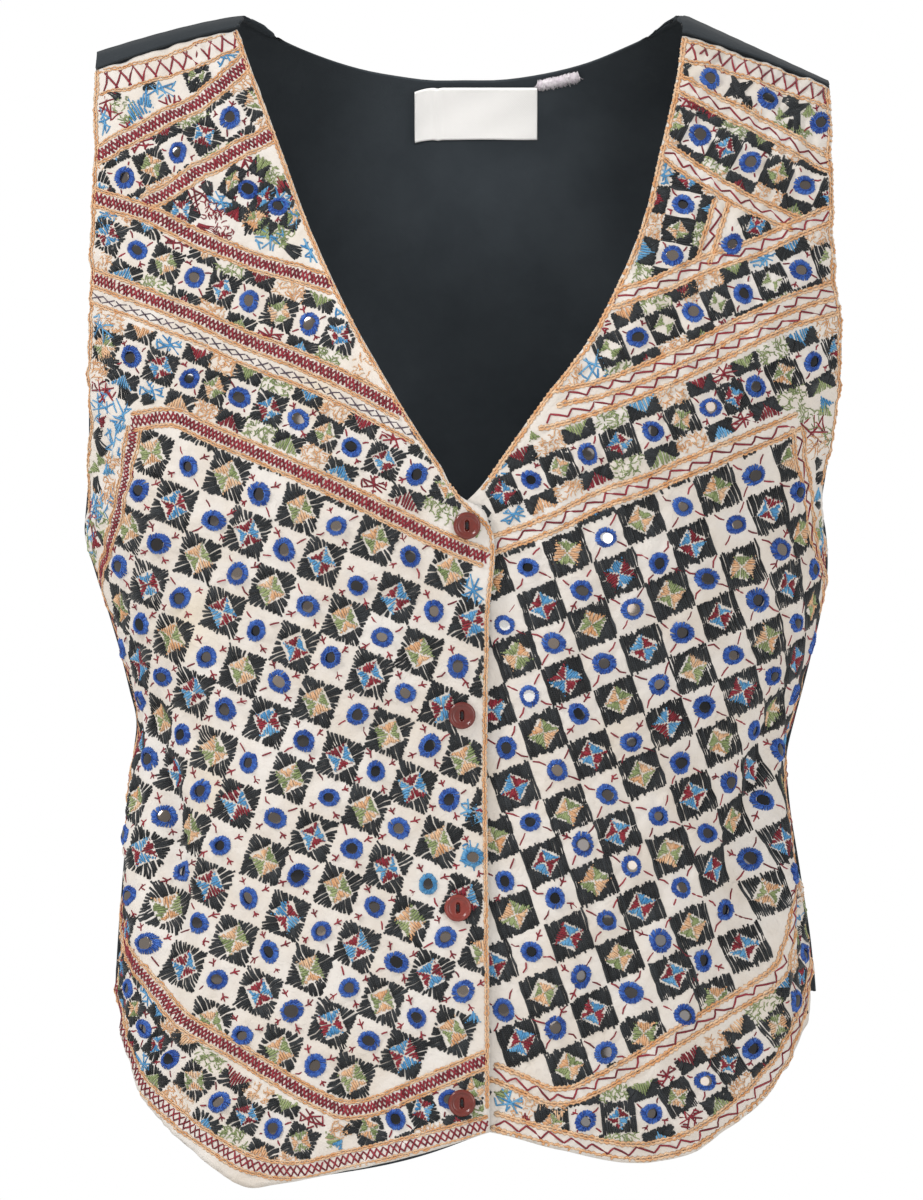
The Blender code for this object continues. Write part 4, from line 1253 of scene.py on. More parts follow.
ringEnds = 4.6 * np.array([(1, 0), (-1, 0), (0, 1), (0, -1), (0, 0)])
for front in sides:
    look, chart = fieldLook[front], field[front]
    i, j, place = fieldCells(front)
    a, b = np.array(chart["along"]) / 2, np.array(chart["across"]) / 2
    ringed = (i + j) % 2 == 0
    rules = {"inField": True}
    for number, colours in enumerate(look["kinds"]):
        chosen = ~ringed & (j % 2 == number)
        swapped = rng.random(len(place)) < look["swapped"][number]
        darkCells(front, place[chosen & ~swapped], a, b, look, colours, rules)
        darkCells(front, place[chosen & swapped], a, b, look, colours[::-1], rules)
    whole = ringed & hasRoom(front, place[:, None] + ringEnds, edge=0.8, band=-1.2).all(axis=1)
    whole &= hasRoom(front, place, inField=True, band=None)
    centres = place[whole]
    scale = rng.uniform(0.90, 1.10, len(centres))
    mirrors[front].append(np.column_stack([centres, scale]))
    sky = np.array([np.hypot(*(np.array(skyRings) - c).T).min() < 9 for c in centres])
    for colour, chosen in (("royal", ~sky), ("sky", sky)):
        ring(front, colour, centres[chosen], scale[chosen], {"edge": 0.5, "band": None})
    for corner in corners(a, b):
        ticks(front, centres, np.broadcast_to(unit(corner), centres.shape), look["tick"], look["forked"])
    print(front, "field sewn,", int(whole.sum()), "rings")


# Rows of cells between the bands, by their rings: ringed and dark cells take turns along a row.
# Over and under a ring stands a satin triangle between two black corners, over and under a dark
# cell an open net.
rows = {
    "right": (
        seenFromFront((-170, 81.5), (-143.5, 69), (-117.5, 51.5)),
        seenFromFront((-108.5, 87.5), (-93, 96)),
        seenFromFront((-164, 117.5), (-135, 131.5), (-107.5, 143.5), (-77.5, 155)),
        seenFromFront((-166.5, 171), (-137.5, 182), (-112.5, 191.5), (-83, 202.5), (-56.5, 216.5),
                      (-24, 230)),
        ((-178, 487), (-164, 507)) + seenFromFront((-147.5, 522), (-122.5, 543), (-95.5, 556)),
        seenFromFront((-34.5, 551), (-8, 541)),
    ),
    "left": (
        seenFromFront((122.5, 31.5), (151.5, 41.5), (178, 53.5)),
        seenFromFront((117.5, 60), (142.5, 73.5), (170, 85)),
        seenFromFront((103.5, 121), (109, 95)),
        seenFromFront((86, 161.5), (113.5, 149), (139, 139.5), (168, 127.5)),
        seenFromFront((33, 232.5), (61, 220), (93.5, 208.5), (122.5, 196.5), (145, 186), (173.5, 173.5)),
        ((187, 470), (170, 493)) + seenFromFront((143.5, 516.5), (119.5, 532.5), (93, 548.5), (60, 552)),
    ),
}
rowLook = {
    "right": {"square": 0.80, "black": 11, "blackThread": 1.15, "satin": 8, "satinThread": 1.2,
              "lean": 0.14},
    "left": {"square": 0.74, "black": 16, "blackThread": 1.35, "satin": 9, "satinThread": 1.2,
             "lean": 0.18},
}
greenRow = ("left", 3)   # its dark cells have two green patches each and bare cloth beside them
starRow = ("left", 0)    # it has black stars on bare cloth in place of dark cells
darkColours = (("red", "sky"), ("green", "peach"), ("sky", "red"), ("peach", "green"))
wedgeColours = ("sky", "red", "green", "sky", "peach", "red", "green")
netColours = ("peach", "red", "green", "peach", "sky", "peach", "green")
rowRules = {"inField": False, "edge": 2.8, "band": 0.9}
rowHalf = 8.0           # from a row's middle to the sides of its cells
wedgeCount, netCount = 0, 0
for front in sides:
    look = rowLook[front]
    for number, row in enumerate(rows[front]):
        row = np.array(row, float)
        steps = np.diff(row, axis=0)
        scale = rng.uniform(0.90, 1.02, len(row))
        mirrors[front].append(np.column_stack([row, scale]))
        ring(front, "royal", row, scale, {"edge": 0.5, "band": None})
        a = np.gradient(row, axis=0) / 4
        b = turned(unit(a)) * rowHalf
        for corner in corners(a, b):
            ticks(front, row, unit(corner), (6.0, 9.0), 0.3)
        ends = row[0] - steps[0] / 2, row[-1] + steps[-1] / 2
        dark = np.concatenate([ends[:1], (row[:-1] + row[1:]) / 2, ends[1:]])
        darkA = np.concatenate([steps[:1], steps, steps[-1:]]) / 4
        darkB = turned(unit(darkA)) * rowHalf
        for k, colours in enumerate(darkColours):
            chosen = (np.arange(len(dark)) + number) % len(darkColours) == k
            cells = dark[chosen], darkA[chosen], darkB[chosen]
            if (front, number) == starRow:
                star(front, *cells, rowRules)
            else:
                colours = ("green", None) if (front, number) == greenRow else colours
                darkCells(front, *cells, look, colours, rowRules)
        for way in (-1, 1):
            over = row + b * way * 2
            if (front, number) != starRow:
                for first, second in ((-b * way, a), (-a, -b * way)):
                    cornerFill(front, over, first, second, look["square"], look["black"],
                               look["blackThread"], rowRules)
            for k in range(len(row)):
                one = slice(k, k + 1)
                colour = wedgeColours[wedgeCount % len(wedgeColours)]
                wedgeCount += 1
                satin(front, colour, (row + b * way * 1.12)[one], (a * 0.92 + b * way)[one],
                      (-a * 0.92 + b * way)[one], 11, look["satinThread"], rowRules)
            for k in range(len(dark)):
                one = slice(k, k + 1)
                colour = netColours[netCount % len(netColours)]
                netCount += 1
                spot = (dark + darkB * way * 1.55)[one]
                if colour in ("peach", "green"):
                    scribble(front, colour, spot, darkA[one], unit(darkB[one]), (1.0, 4.4), rowRules)
                else:
                    net(front, colour, spot, unit(darkA[one]), unit(darkB[one]) * 0.8, 4.6, rowRules)
print("rows between the bands sewn")


# Single motifs, listed one by one, as seen from the front: kind, colour, across, down, turn in
# degrees, size
motifs = {
    "right": (
        ("satin", "sky", -166, 46, 60, 11), ("satin", "sky", -160, 42, 100, 10),
        ("net", "sky", -152, 36, 20, 5), ("net", "sky", -182, 52, 80, 5),
        ("bunch", "black", -158, 35, -20, 7), ("bunch", "black", -176, 39, 20, 7),
        ("net", "red", -147, 45, -25, 4.6), ("net", "red", -166, 57, -25, 5),
        ("net", "sky", -118, 20, -20, 5), ("net", "sky", -103, 17, -25, 5),
        ("net", "sky", -91, 93, 60, 5), ("net", "sky", -83, 101, 60, 5), ("net", "sky", -97, 112, 0, 5.2),
        ("bunch", "black", -86, 118, 30, 8), ("net", "sky", -76, 118, 60, 4.6),
        ("scribble", "red", -125, 99, 0, 6), ("scribble", "red", -121, 109, 0, 5),
        ("bunch", "red", -130, 108, 30, 9), ("net", "sky", -182, 157, 80, 5),
        ("satin", "peach", -180, 168, 90, 9), ("bunch", "black", -177, 175, 20, 8),
        ("net", "red", -181, 188, 40, 5), ("bunch", "black", -171, 188, 80, 8),
        ("satin", "red", -182, 203, 20, 8), ("net", "sky", -172, 200, 70, 5.5),
        ("net", "sky", -175, 214, 70, 5.5), ("bunch", "black", -182, 216, 60, 9),
        ("satin", "sky", -179, 227, 90, 9), ("bunch", "black", -184, 235, 80, 8),
        ("net", "sky", -185, 246, 80, 5), ("satin", "red", -186, 262, 80, 8),
        ("net", "sky", 3.5, 288, 80, 5), ("net", "sky", 3, 420, 80, 5), ("net", "sky", 3, 398, 80, 4.5),
        ("satin", "sky", 4, 500, 90, 8), ("cell", ("sky", "red"), -142, 98, -25, 7.5),
        ("cell", ("green", "peach"), -104, 102.5, -10, 7),
        ("cell", ("green", "black"), -134, 30, -20, 6.5), ("satin", "red", -92, 84, 60, 8),
    ),
    "left": (
        ("bunch", "black", 136, 37, 60, 8), ("bunch", "black", 141, 44, 100, 7),
        ("bunch", "black", 163, 43, 20, 8), ("bunch", "black", 164, 56, 90, 8),
        ("satin", "green", 172, 47, 90, 7), ("scribble", "peach", 143, 50, 20, 5),
        ("satin", "green", 180, 196, 90, 8), ("scribble", "green", 182, 210, 0, 5),
        ("satin", "sky", 177, 240, 80, 9), ("satin", "peach", 183, 246, 90, 8),
        ("bunch", "black", 184, 218, 70, 8), ("satin", "peach", 180, 262, 90, 8),
        ("net", "sky", 22, 542, 20, 5), ("satin", "red", 30, 551, 90, 8),
        ("satin", "peach", 47, 549, -90, 8), ("bunch", "black", 39, 547, 80, 8),
        ("scribble", "green", 56, 562, 0, 4), ("ring", "royal", 133.3, 115, 0, 1),
        ("cell", ("sky", "red"), 145, 106, -25, 7), ("satin", "green", 158, 49, 75, 7),
        ("scribble", "peach", 165, 101, 20, 4), ("scribble", "peach", 131, 45, 30, 4.5),
        ("scribble", "green", 168, 60, 20, 4.5),
    ),
}
motifRules = {"inField": None, "edge": 2.6, "band": 0.7}


def oneMotif(front, kind, colour, place, angle, size):
    place = np.asarray(place, float)[None]
    direction = np.array([[math.cos(math.radians(angle)), math.sin(math.radians(angle))]])
    side = turned(direction)
    if kind == "ring":
        mirrors[front].append(np.column_stack([place, [1.0]]))
        ring(front, colour, place, np.array([1.0]), {"edge": 0.5, "band": None})
        for corner in (direction, -direction, side, -side):
            ticks(front, place, corner, (6.0, 8.5), 0.3)
    elif kind == "cell":
        darkCells(front, place, direction * size, side * size, rowLook[front], colour, motifRules)
    elif kind == "net":
        net(front, colour, place, direction, side, size, motifRules)
    elif kind == "scribble":
        scribble(front, colour, place, direction, side, (size, size * 0.8), motifRules, 30)
    elif kind == "satin":
        satin(front, colour, place - direction * size / 2, (direction + side * 0.6) * size,
              (direction - side * 0.6) * size, 9, 1.15, motifRules)
    else:
        bunch(front, colour, place, direction, (size, size * 0.16, size * 0.42), 8, 1.1, motifRules)


for front in sides:
    for kind, colour, x, down, angle, size in motifs[front]:
        place = seenFromFront((x, down))[0] if abs(x) > 20 else (x, down)
        oneMotif(front, kind, colour, place, angle, size)


# Bare places between the bands take small motifs: the sizes and shifts of four passes, and the
# grid's step; clear: from the rings' middles; crowded: from this much thread nearby, within reach
filling = {
    "passes": ((7.0, 0.0), (6.0, 3.7), (5.0, 1.9), (4.5, 5.6)), "step": 7.5, "span": (246, 592),
    "clear": 9.0, "crowded": 15, "reach": 3,
}
fillers = (
    ("scribble", "peach"), ("bunch", "black"), ("scribble", "peach"), ("net", "red"), ("bunch", "black"),
    ("satin", "green"), ("scribble", "green"), ("satin", "sky"), ("bunch", "black"), ("net", "sky"),
)


def crowding(front):
    # How much thread lies near each flat place
    grid, reach = surface[front], filling["reach"]
    count = np.zeros(grid["out"].shape)
    for (where, colour), blocks in threadWork.items():
        if where == front:
            for block in blocks:
                spots = alongStitch(block[0], np.linspace(0, 1, 7)[None] + np.zeros((len(block[0]), 1)))
                i = np.clip(spots[..., 0] - grid["low"] + 0.5, 0, count.shape[0] - 1).astype(int)
                j = np.clip(spots[..., 1] - grid["top"] + 0.5, 0, count.shape[1] - 1).astype(int)
                np.add.at(count, (i, j), 1)
    for axis in (0, 1):
        total = np.cumsum(count, axis=axis)
        count = np.roll(total, -reach, axis=axis) - np.roll(total, reach + 1, axis=axis)
    return count


for front in sides:
    grid, step = surface[front], filling["step"]
    for size, shift in filling["passes"]:
        crowd = crowding(front)
        i, j = np.meshgrid(*(np.arange(0, span, step) for span in filling["span"]), indexing="ij")
        spots = asRows(i + (j / step % 2) * step / 2 + grid["low"] + shift, j + grid["top"] + shift)
        spots = spots + rng.normal(0, 0.8, spots.shape)
        rings = np.concatenate(mirrors[front])[:, :2]
        away = np.hypot(*(spots[:, None] - rings[None]).transpose(2, 0, 1)).min(axis=1)
        free = atFlat(front, crowd, spots[:, 0], spots[:, 1]) < filling["crowded"]
        free &= hasRoom(front, spots, inField=False, edge=3.6, band=2.2) & (away > filling["clear"])
        for number, spot in enumerate(spots[free]):
            kind, colour = fillers[(number * 7 + len(rings)) % len(fillers)]
            oneMotif(front, kind, colour, spot, rng.uniform(0, 360), size)
        print(front, "fillers", int(free.sum()))


def ribMesh(places, normals, width, height, tone):
    # Each stitch is a low three-sided rib along its three places: left, top and right points,
    # the top raised along the cloth's own direction, with its two ends closed
    run = unit(np.gradient(places, axis=1))
    side = unit(np.cross(run, normals))
    left = places - side * width[..., None] / 2
    top = places + normals * height[..., None]
    right = places + side * width[..., None] / 2
    points = np.stack([left, top, right], axis=2).reshape(-1, 3)
    base = np.arange(len(places))[:, None] * 9
    quads = []
    for step in (0, 3):
        for a, b in ((0, 1), (1, 2), (2, 0)):
            quads.append(base + np.array([[a + step, b + step, b + step + 3, a + step + 3]]))
    ends = [base + np.array([[0, 2, 1]]), base + np.array([[6, 7, 8]])]
    length = np.concatenate([np.zeros((len(places), 1)),
                             np.cumsum(np.linalg.norm(np.diff(places, axis=1), axis=-1), axis=1)], axis=1)
    stitch = np.stack([
        np.repeat(length[:, :, None], 3, axis=2),
        np.broadcast_to(np.array([-1.0, 0.0, 1.0]), (len(places), 3, 3)),
        np.broadcast_to(tone[:, None, None], (len(places), 3, 3)),
    ], -1).reshape(-1, 3)
    return points, [np.concatenate(quads), np.concatenate(ends)], stitch


def strandMesh(front, blocks):
    paths, width, height, lift, tone = (np.concatenate(parts) for parts in zip(*blocks))
    return ribMesh(*onCloth(front, paths[..., 0], paths[..., 1], lift), width, height, tone)


def seamOnBack(row, column, step=3.6):  # running stitches along a line over the back's own grid
    fine = [readTable(onBack[name], row, column) for name in ("points", "normals")]
    way = np.concatenate(([0], np.cumsum(np.linalg.norm(np.diff(fine[0], axis=0), axis=-1))))
    at = np.arange(step / 2, way[-1] - step / 2, step)[:, None] + np.array([-1.35, 0.0, 1.35])
    places, normals = (np.stack([np.interp(at, way, part[:, k]) for k in range(3)], -1) for part in fine)
    return places + normals * np.array([0.0, 0.1, 0.0])[:, None], unit(normals)


# Cells of the back's grid from its edges to the seams; the neck's seam takes half the width
seamsIn = {"hem": 4.4, "side": 3.6, "shoulder": 3.5, "sideEnd": 4.3, "neck": 5.0}
columns, lines = backCells
down = np.linspace(seamsIn["shoulder"], lines - seamsIn["sideEnd"], 400)
across = np.linspace(seamsIn["side"], columns - seamsIn["side"], 400)
neckAcross = columns / 2 + np.linspace(-1, 1, 300) * columns / 4
seams = [
    seamOnBack(np.full(400, lines - seamsIn["hem"]), across),
    seamOnBack(down, np.full(400, seamsIn["side"])),
    seamOnBack(down, np.full(400, columns - seamsIn["side"])),
    seamOnBack(np.full(300, seamsIn["neck"]), neckAcross),
]
places, normals = (np.concatenate(parts) for parts in zip(*seams))
backThread = threadMaterial("blackSewingCotton", "#15181A", "#2B3033", 0.5)
points, faces, stitch = ribMesh(places, normals, np.full(places.shape[:2], 0.7),
                                np.full(places.shape[:2], 0.35), rng.random(len(places)))
backSewing = makePiece("back_sewing", points, faces, backThread, stitch=stitch)
print("back sewn")


needlework = {front: [] for front in sides}
for (front, colour), blocks in threadWork.items():
    points, faces, stitch = strandMesh(front, blocks)
    piece = makePiece(f"front_{front}_{colour}_stitches", points, faces, threads[colour], stitch=stitch)
    needlework[front].append(piece)
    print(piece.name, len(faces[0]) * 2 + len(faces[1]), "triangles")


def mirrorMesh(front):
    # Discs with a slightly crowned face, a bevelled rim, and a tilt of their own
    chart = np.concatenate(mirrors[front])
    chart = chart[hasRoom(front, chart[:, :2], edge=3.0, band=None)]
    count, around = len(chart), 20
    places, normals = onCloth(front, chart[:, 0], chart[:, 1], np.full(count, 0.35))
    sideX = unit(np.cross(normals, np.array([0.0, 0.0, 1.0])))
    sideY = np.cross(normals, sideX)
    tilt = rng.normal(0, 0.05, (count, 2, 1))
    radius = (ringSize["mirror"] + 0.7) * chart[:, 2]
    angle = fullTurn(around)
    rings = []
    for share, height in ((1.0, -0.25), (1.0, 0.30), (0.93, 0.38), (0.45, 0.44)):
        x, y = (way(angle)[None, :, None] * (radius * share)[:, None, None] for way in (np.cos, np.sin))
        rise = height + x * tilt[:, None, 0] + y * tilt[:, None, 1]
        rings.append(places[:, None] + sideX[:, None] * x + sideY[:, None] * y + normals[:, None] * rise)
    rings = np.stack(rings, axis=1)
    centre = places + normals * 0.45
    points = np.concatenate([rings.reshape(count, -1, 3), centre[:, None]], axis=1)
    size = points.shape[1]
    base = np.arange(count)[:, None, None] * size
    quads = (gridFaces(4, around, closed=True)[None] + base).reshape(-1, 4)
    k = np.arange(around)
    caps = np.stack([3 * around + k, 3 * around + (k + 1) % around, np.full(around, 4 * around)], -1)
    caps = (caps[None] + base).reshape(-1, 3)
    tone = rng.random(count) ** 1.2 * 0.70
    # the others keep a random tarnish; these take a near-white colour, a painted reflection of the light
    for place in mirrorsWithPaintedReflection[front]:
        tone[np.hypot(*(chart[:, :2] - place).T) < 7] = 0.98
    stitch = np.zeros((count, size, 3))
    stitch[..., 2] = tone[:, None]
    return points.reshape(-1, 3), [quads, caps], stitch.reshape(-1, 3)


for front in sides:
    points, faces, stitch = mirrorMesh(front)
    piece = makePiece(f"front_{front}_mirrors", points, faces, mirrorGlass, stitch=stitch)
    needlework[front].append(piece)
print("mirrors set")


# Label, hem lining, buttons


label = {
    "span": (-25.5, 36.5), "top": 33.0, "height": 26.0, "loose": 0.18, "curl": 3.5, "wall": 0.7,
    "pleat": 0.8, "pleatAt": 0.19, "pleatWidth": 0.02, "ripple": 0.25, "lift": 0.3,
}


def labelMaterial():
    # Bare woven satin ribbon: bright white with a soft gloss and ribs across it, 0.6 mm apart
    material, tree, shader = newMaterial("whiteWovenSatin", fromHex("#FFFDFA"), 0.55,
                                         {"IOR": 1.5, "Sheen Weight": 0.2})
    bump = wovenBump(tree, 1.2, 0.4, 0.07)
    tree.links.new(bump.outputs["Normal"], shader.inputs["Normal"])
    return material


def insideBack(x, down, inward):  # places on the inner side of the back, this far in from its outside
    level = levelAt(x, down)
    turn = turnAt(x, level, "back")
    points = clothPoint(turn, level, "back")
    aside, below = (clothPoint(turn + t, level + l, "back") - points for t, l in ((0.01, 0), (0, 1.0)))
    normal = unit(np.cross(aside, below))
    normal = normal * np.where(normal[..., 1:2] > 0, -1, 1)
    return points + normal * inward[..., None]


u, w = gridShares(27, 63)
x = label["span"][0] + (label["span"][1] - label["span"][0]) * u
down = label["top"] + label["height"] * w
curl = label["curl"] * np.clip(1 - u / label["loose"], 0, 1) ** 2
pleat = label["pleat"] * np.exp(-((u - label["pleatAt"]) / label["pleatWidth"]) ** 2)
pleat = pleat + label["ripple"] * np.sin(9 * u + 3 * w) * np.sin(5 * w)
points = insideBack(x, down, form["backWall"] + form["layerGap"] + curl + pleat + label["lift"])
labelPiece = makePiece("neck_label_woven", points.reshape(-1, 3), [gridFaces(*u.shape)], labelMaterial(),
                       asRows(x, -down))
giveWall(labelPiece, label["wall"])
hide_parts("neck_label")

# Two small tufts of pale threads caught in the back neck seam, to the right of the label
tufts = {
    "count": 700, "spans": ((38.5, 44.0), (45.0, 56.5)), "firstShare": 0.38, "down": 30.0, "slope": 0.24,
    "hang": (0.0, 1.4, 2.9), "rise": (0.2, 1.0, 0.5), "width": 0.42, "height": 0.3,
}
count = tufts["count"]
chosen = rng.random(count)
first, second = (rng.uniform(*span, count) for span in tufts["spans"])
along = np.where(chosen < tufts["firstShare"], first, second)
x = along[:, None] + np.cumsum(rng.normal(0, 0.8, (count, 3)), axis=1)
root = tufts["down"] - (along - tufts["spans"][0][0]) * tufts["slope"]
down = root[:, None] + np.array(tufts["hang"]) * rng.uniform(0.7, 1.6, (count, 1))
down = down + rng.normal(0, 0.4, (count, 3))
rise = form["backWall"] + 0.5 + np.array(tufts["rise"]) * rng.uniform(0.3, 1.8, (count, 1))
places = insideBack(x, down, rise)
normals = np.broadcast_to(np.array([0.0, -1.0, 0.0]), places.shape)
paleThread = threadMaterial("palePolyesterFluff", "#EFE3EC", "#FFFAFC", 0.7)
points, faces, stitch = ribMesh(places, normals, np.full((count, 3), tufts["width"]),
                                np.full((count, 3), tufts["height"]), rng.random(count))
makePiece("back_neck_tufts", points, faces, paleThread, stitch=stitch)

hemLining = {"span": (-4.0, 70.0), "height": 16.0, "show": 1.2, "wall": 0.8}
u, w = gridShares(9, 75)
out = hemLining["span"][0] + (hemLining["span"][1] - hemLining["span"][0]) * u
hem = throughPoints(*np.array(form["hems"]["right"], float).T, out)
down = hem + hemLining["show"] * np.sin(np.pi * u) - hemLining["height"] * (1 - w)
level = levelOfDrop(down)
points = clothPoint(turnAt(-out, level, "front"), level, "front")
normal = slopesOf(points)
normal = normal * np.where(normal[..., 1:2] > 0, 1, -1)
points = points + normal * (form["frontWall"] + form["layerGap"] + 0.2)
liningPiece = makePiece("hem_lining_edge", points.reshape(-1, 3), [gridFaces(*u.shape)[:, ::-1]],
                        blackCotton, asRows(-out, -down))
giveWall(liningPiece, hemLining["wall"])
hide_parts("hem_lining")
print("label and hem lining made")

buttons.update({
    "around": 64, "lift": 0.5, "holePitch": 3.4, "holeRadius": 0.85, "holeDepth": 1.2,
    "grooveRadius": 1.25, "grooveDepth": 0.35,
    "colours": ("#74291F", "#6E2820", "#8A342A", "#74291F"),
})


def buttonMaterial(name, code):
    # Cast polyester resin, polished: deep oxblood with a faint cloudy grain
    colour = fromHex(code)
    material, tree, shader = newMaterial(name, colour, 0.24,
                                         {"IOR": 1.54, "Coat Weight": 0.3, "Coat Roughness": 0.12})
    place = addNode(tree, "ShaderNodeTexCoord")
    grain = addNode(tree, "ShaderNodeTexNoise", {"Scale": 260.0, "Detail": 3.0, "Distortion": 0.8},
                    {"Vector": place.outputs["Object"]})
    dark, light = (tuple(min(share * c, 1) for c in colour[:3]) + (1,) for share in (0.72, 1.35))
    clouded = addRamp(tree, grain.outputs["Fac"], (0.0, dark), (1.0, light))
    tree.links.new(clouded, shader.inputs["Base Color"])
    return material


# Profile of a button, (radius, height), from the middle of its back over the rim to its dished
# face, which runs level to the middle
outerProfile = (
    (0.0, 0.0), (4.6, 0.0), (6.0, 0.34), (6.55, 0.9), (6.8, 1.54), (6.74, 2.1), (6.45, 2.5), (6.05, 2.72),
    (5.6, 2.8),
)
faceProfile = ((5.2, 2.66), (4.9, 2.36), (4.6, 2.1), (4.2, 1.96)) + tuple(
    (radius, 1.9) for radius in (3.8, 3.4, 3.0, 2.6, 2.3, 2.0, 1.7, 1.4, 1.1, 0.8, 0.5, 0.25, 0.0)
)


def buttonAxes(x, down):  # middle of a button's seat, and its directions across, up and out
    x, down = np.array([x]), np.array([down])
    level = levelAt(x, down)
    seat = clothPoint(turnAt(x, level, "front"), level, "front")[0]
    axis = unit(onCloth("right", x, down)[1][0] * 0.3 + np.array([0, -0.7, 0]))
    up = unit(np.array([0.0, 0.0, 1.0]) - axis * axis[2])
    return seat + axis * buttons["lift"], np.cross(up, axis), up, axis


def buttonMesh(centre, across, up, axis):
    # The profile carried round, its face sunk again into the two thread holes and the groove
    # between them
    around = buttons["around"]
    profile = np.array(outerProfile + faceProfile)
    angle = fullTurn(around)
    px = profile[1:-1, 0][:, None] * np.cos(angle)
    py = profile[1:-1, 0][:, None] * np.sin(angle)
    height = profile[1:-1, 1][:, None] + 0 * px
    face = (np.arange(1, len(profile) - 1) >= len(outerProfile))[:, None]
    beyond = np.abs(py) - buttons["holePitch"] / 2
    groove = smoothStep((buttons["grooveRadius"] - np.hypot(px, np.maximum(beyond, 0))) / 0.5)
    hole = smoothStep((buttons["holeRadius"] + 0.25 - np.hypot(px, beyond)) / 0.4)
    sunk = buttons["grooveDepth"] * groove + buttons["holeDepth"] * hole
    height = height - np.where(face, sunk, 0)
    middle = np.array([[0, 0, profile[0, 1]], [0, 0, profile[-1, 1] - buttons["grooveDepth"]]])
    local = np.concatenate([asRows(px, py, height), middle])
    circles = len(profile) - 2
    k, last = np.arange(around), (circles - 1) * around
    low = np.stack([(k + 1) % around, k, np.full(around, circles * around)], -1)
    high = np.stack([last + k, last + (k + 1) % around, np.full(around, circles * around + 1)], -1)
    points = centre + local[:, :1] * across + local[:, 1:2] * up + local[:, 2:] * axis
    return points, [gridFaces(circles, around, closed=True), np.concatenate([low, high])]


buttonThread = threadMaterial("blackButtonThread", "#121113", "#2A282B", 0.6)
for number, (x, down) in enumerate(buttons["places"]):
    resin = buttonMaterial(f"oxbloodResin{number + 1}", buttons["colours"][number])
    centre, across, up, axis = buttonAxes(x, down)
    points, faces = buttonMesh(centre, across, up, axis)
    piece = makePiece(f"button_{number + 1}_resin", points, faces, resin)
    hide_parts(f"button_{number + 1}")
    # three threads from hole to hole, rising over the groove: tubes of six sides
    t = np.linspace(-1, 1, 9)
    angle = fullTurn(6)
    circle = 0.32 * (np.outer(np.cos(angle), across) + np.outer(np.sin(angle), axis))
    shells, twists = [], []
    for strand in (-1, 0, 1):
        path = (centre + np.outer(strand * 0.42 + 0.1 * np.sin(5 * t + strand), across)
                + np.outer(t * buttons["holePitch"] / 2, up)
                + np.outer(2.05 + 0.25 * (1 - t ** 2) - 1.1 * np.abs(t) ** 8, axis))
        shells.append((path[:, None] + circle[None]).reshape(-1, 3))
        shade = 0.5 + 0.2 * strand
        twists.append(np.stack(np.broadcast_arrays(t[:, None] * 2.5, np.sin(angle)[None], shade), -1))
    tube = gridFaces(9, 6, closed=True)
    ends = np.array([[5, 4, 3, 2, 1, 0], [48, 49, 50, 51, 52, 53]])
    threadPiece = makePiece(f"button_{number + 1}_thread", np.concatenate(shells),
                            [np.concatenate([tube + 54 * k for k in range(3)]),
                             np.concatenate([ends + 54 * k for k in range(3)])], buttonThread,
                            stitch=np.concatenate(twists).reshape(-1, 3))
print("buttons made")


# Floor, light and camera


def addLamp(name, kind, place, target, energy, settings):
    lamp = bpy.data.lights.new(name, kind)
    lamp.energy = energy
    for setting, value in settings.items():
        setattr(lamp, setting, value)
    holder = bpy.data.objects.new(name, lamp)
    holder.location = place
    aim = Vector(target) - Vector(place)
    holder.rotation_euler = aim.to_track_quat("-Z", "Y").to_euler()
    bpy.context.scene.collection.objects.link(holder)


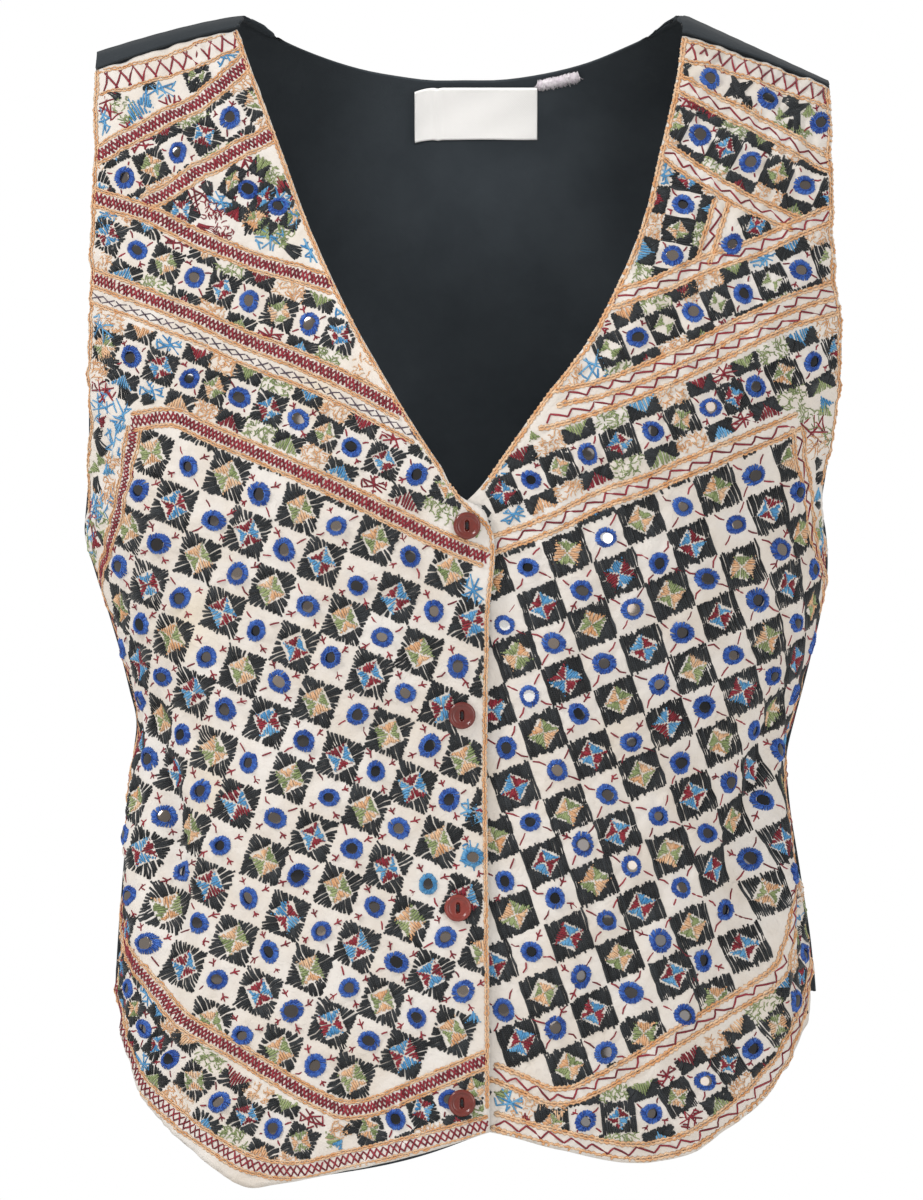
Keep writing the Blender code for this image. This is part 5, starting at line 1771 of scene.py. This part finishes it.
def floorAndLight():
    # A round floor of rings of squares, its middle closed with triangles
    floor = {"drop": 0.075, "radii": (0.4, 1.2, 2.0, 2.9), "around": 96}
    low, around = cadBox[0][2] - floor["drop"], floor["around"]
    angle = fullTurn(around)
    radii = np.array(floor["radii"])[:, None]
    points = asRows(radii * np.cos(angle), radii * np.sin(angle), low + 0 * radii * angle)
    k = np.arange(around)
    middle = np.stack([np.full(around, len(points)), k, (k + 1) % around], -1)
    mesh = bpy.data.meshes.new("floor")
    faces = gridFaces(len(radii), around, closed=True)[:, ::-1].tolist() + middle.tolist()
    mesh.from_pydata(points.tolist() + [(0.0, 0.0, low)], [], faces)
    ground = bpy.data.objects.new("floor", mesh)
    bpy.context.scene.collection.objects.link(ground)
    mesh.materials.append(newMaterial("paleMattFloor", fromHex("#F4F3F1"), 0.9)[0])
    world = bpy.data.worlds.new("paleStudio")
    world.use_nodes = True
    sky = world.node_tree.nodes["Background"]
    sky.inputs["Strength"].default_value = 0.53
    sky.inputs["Color"].default_value = (1.0, 0.985, 0.97, 1)
    seen = addNode(world.node_tree, "ShaderNodeBackground", {"Color": (1, 1, 1, 1), "Strength": 1.0})
    ray = addNode(world.node_tree, "ShaderNodeLightPath")
    mixed = addNode(world.node_tree, "ShaderNodeMixShader",
                    links={0: ray.outputs["Is Camera Ray"], 1: sky.outputs[0], 2: seen.outputs[0]})
    world.node_tree.links.new(mixed.outputs[0], world.node_tree.nodes["World Output"].inputs["Surface"])
    bpy.context.scene.world = world
    for name, place, size, energy in (
        ("keyLight", (-2.1, -1.4, 1.8), 0.8, 43.0), ("fillLight", (1.5, -2.7, 0.2), 1.6, 18.0),
        ("backLight", (0.9, 2.6, 1.6), 1.6, 11.0),
    ):
        addLamp(name, "AREA", place, (0, 0, -0.29), energy, {"shape": "DISK", "size": size})
    # narrow lights through the neck, to the inside of the back and the label
    for name, degrees, energy, target in (
        ("neckLight", 3.8, 85.0, (0.0, 0.1, -0.15)), ("labelLight", 3.4, 200.0, (0.005, 0.1, -0.046)),
    ):
        addLamp(name, "SPOT", (0.0, -2.9, 0.35), target, energy, {
            "spot_size": math.radians(degrees), "spot_blend": 1.0, "shadow_soft_size": 0.03,
        })


def camera():
    # Level view from the front. The frame is 461.5 by 600 mm at half a millimetre a pixel.
    view = {"x": -1.75, "z": -292.5, "frameHigh": 600.0, "plane": -60.0, "far": 14000.0, "sensor": 36.0}
    data = bpy.data.cameras.new("camera")
    data.sensor_width = view["sensor"]
    data.lens = view["sensor"] * view["far"] / view["frameHigh"]
    data.clip_start = 0.5
    data.clip_end = 60.0
    holder = bpy.data.objects.new("camera", data)
    holder.location = (view["x"] * mm, (view["plane"] - view["far"]) * mm, view["z"] * mm)
    holder.rotation_euler = (math.pi / 2, 0, 0)
    bpy.context.scene.collection.objects.link(holder)
    bpy.context.scene.camera = holder


floorAndLight()
camera()
bpy.context.scene.view_settings.view_transform = "Standard"
print("floor, light and camera set")
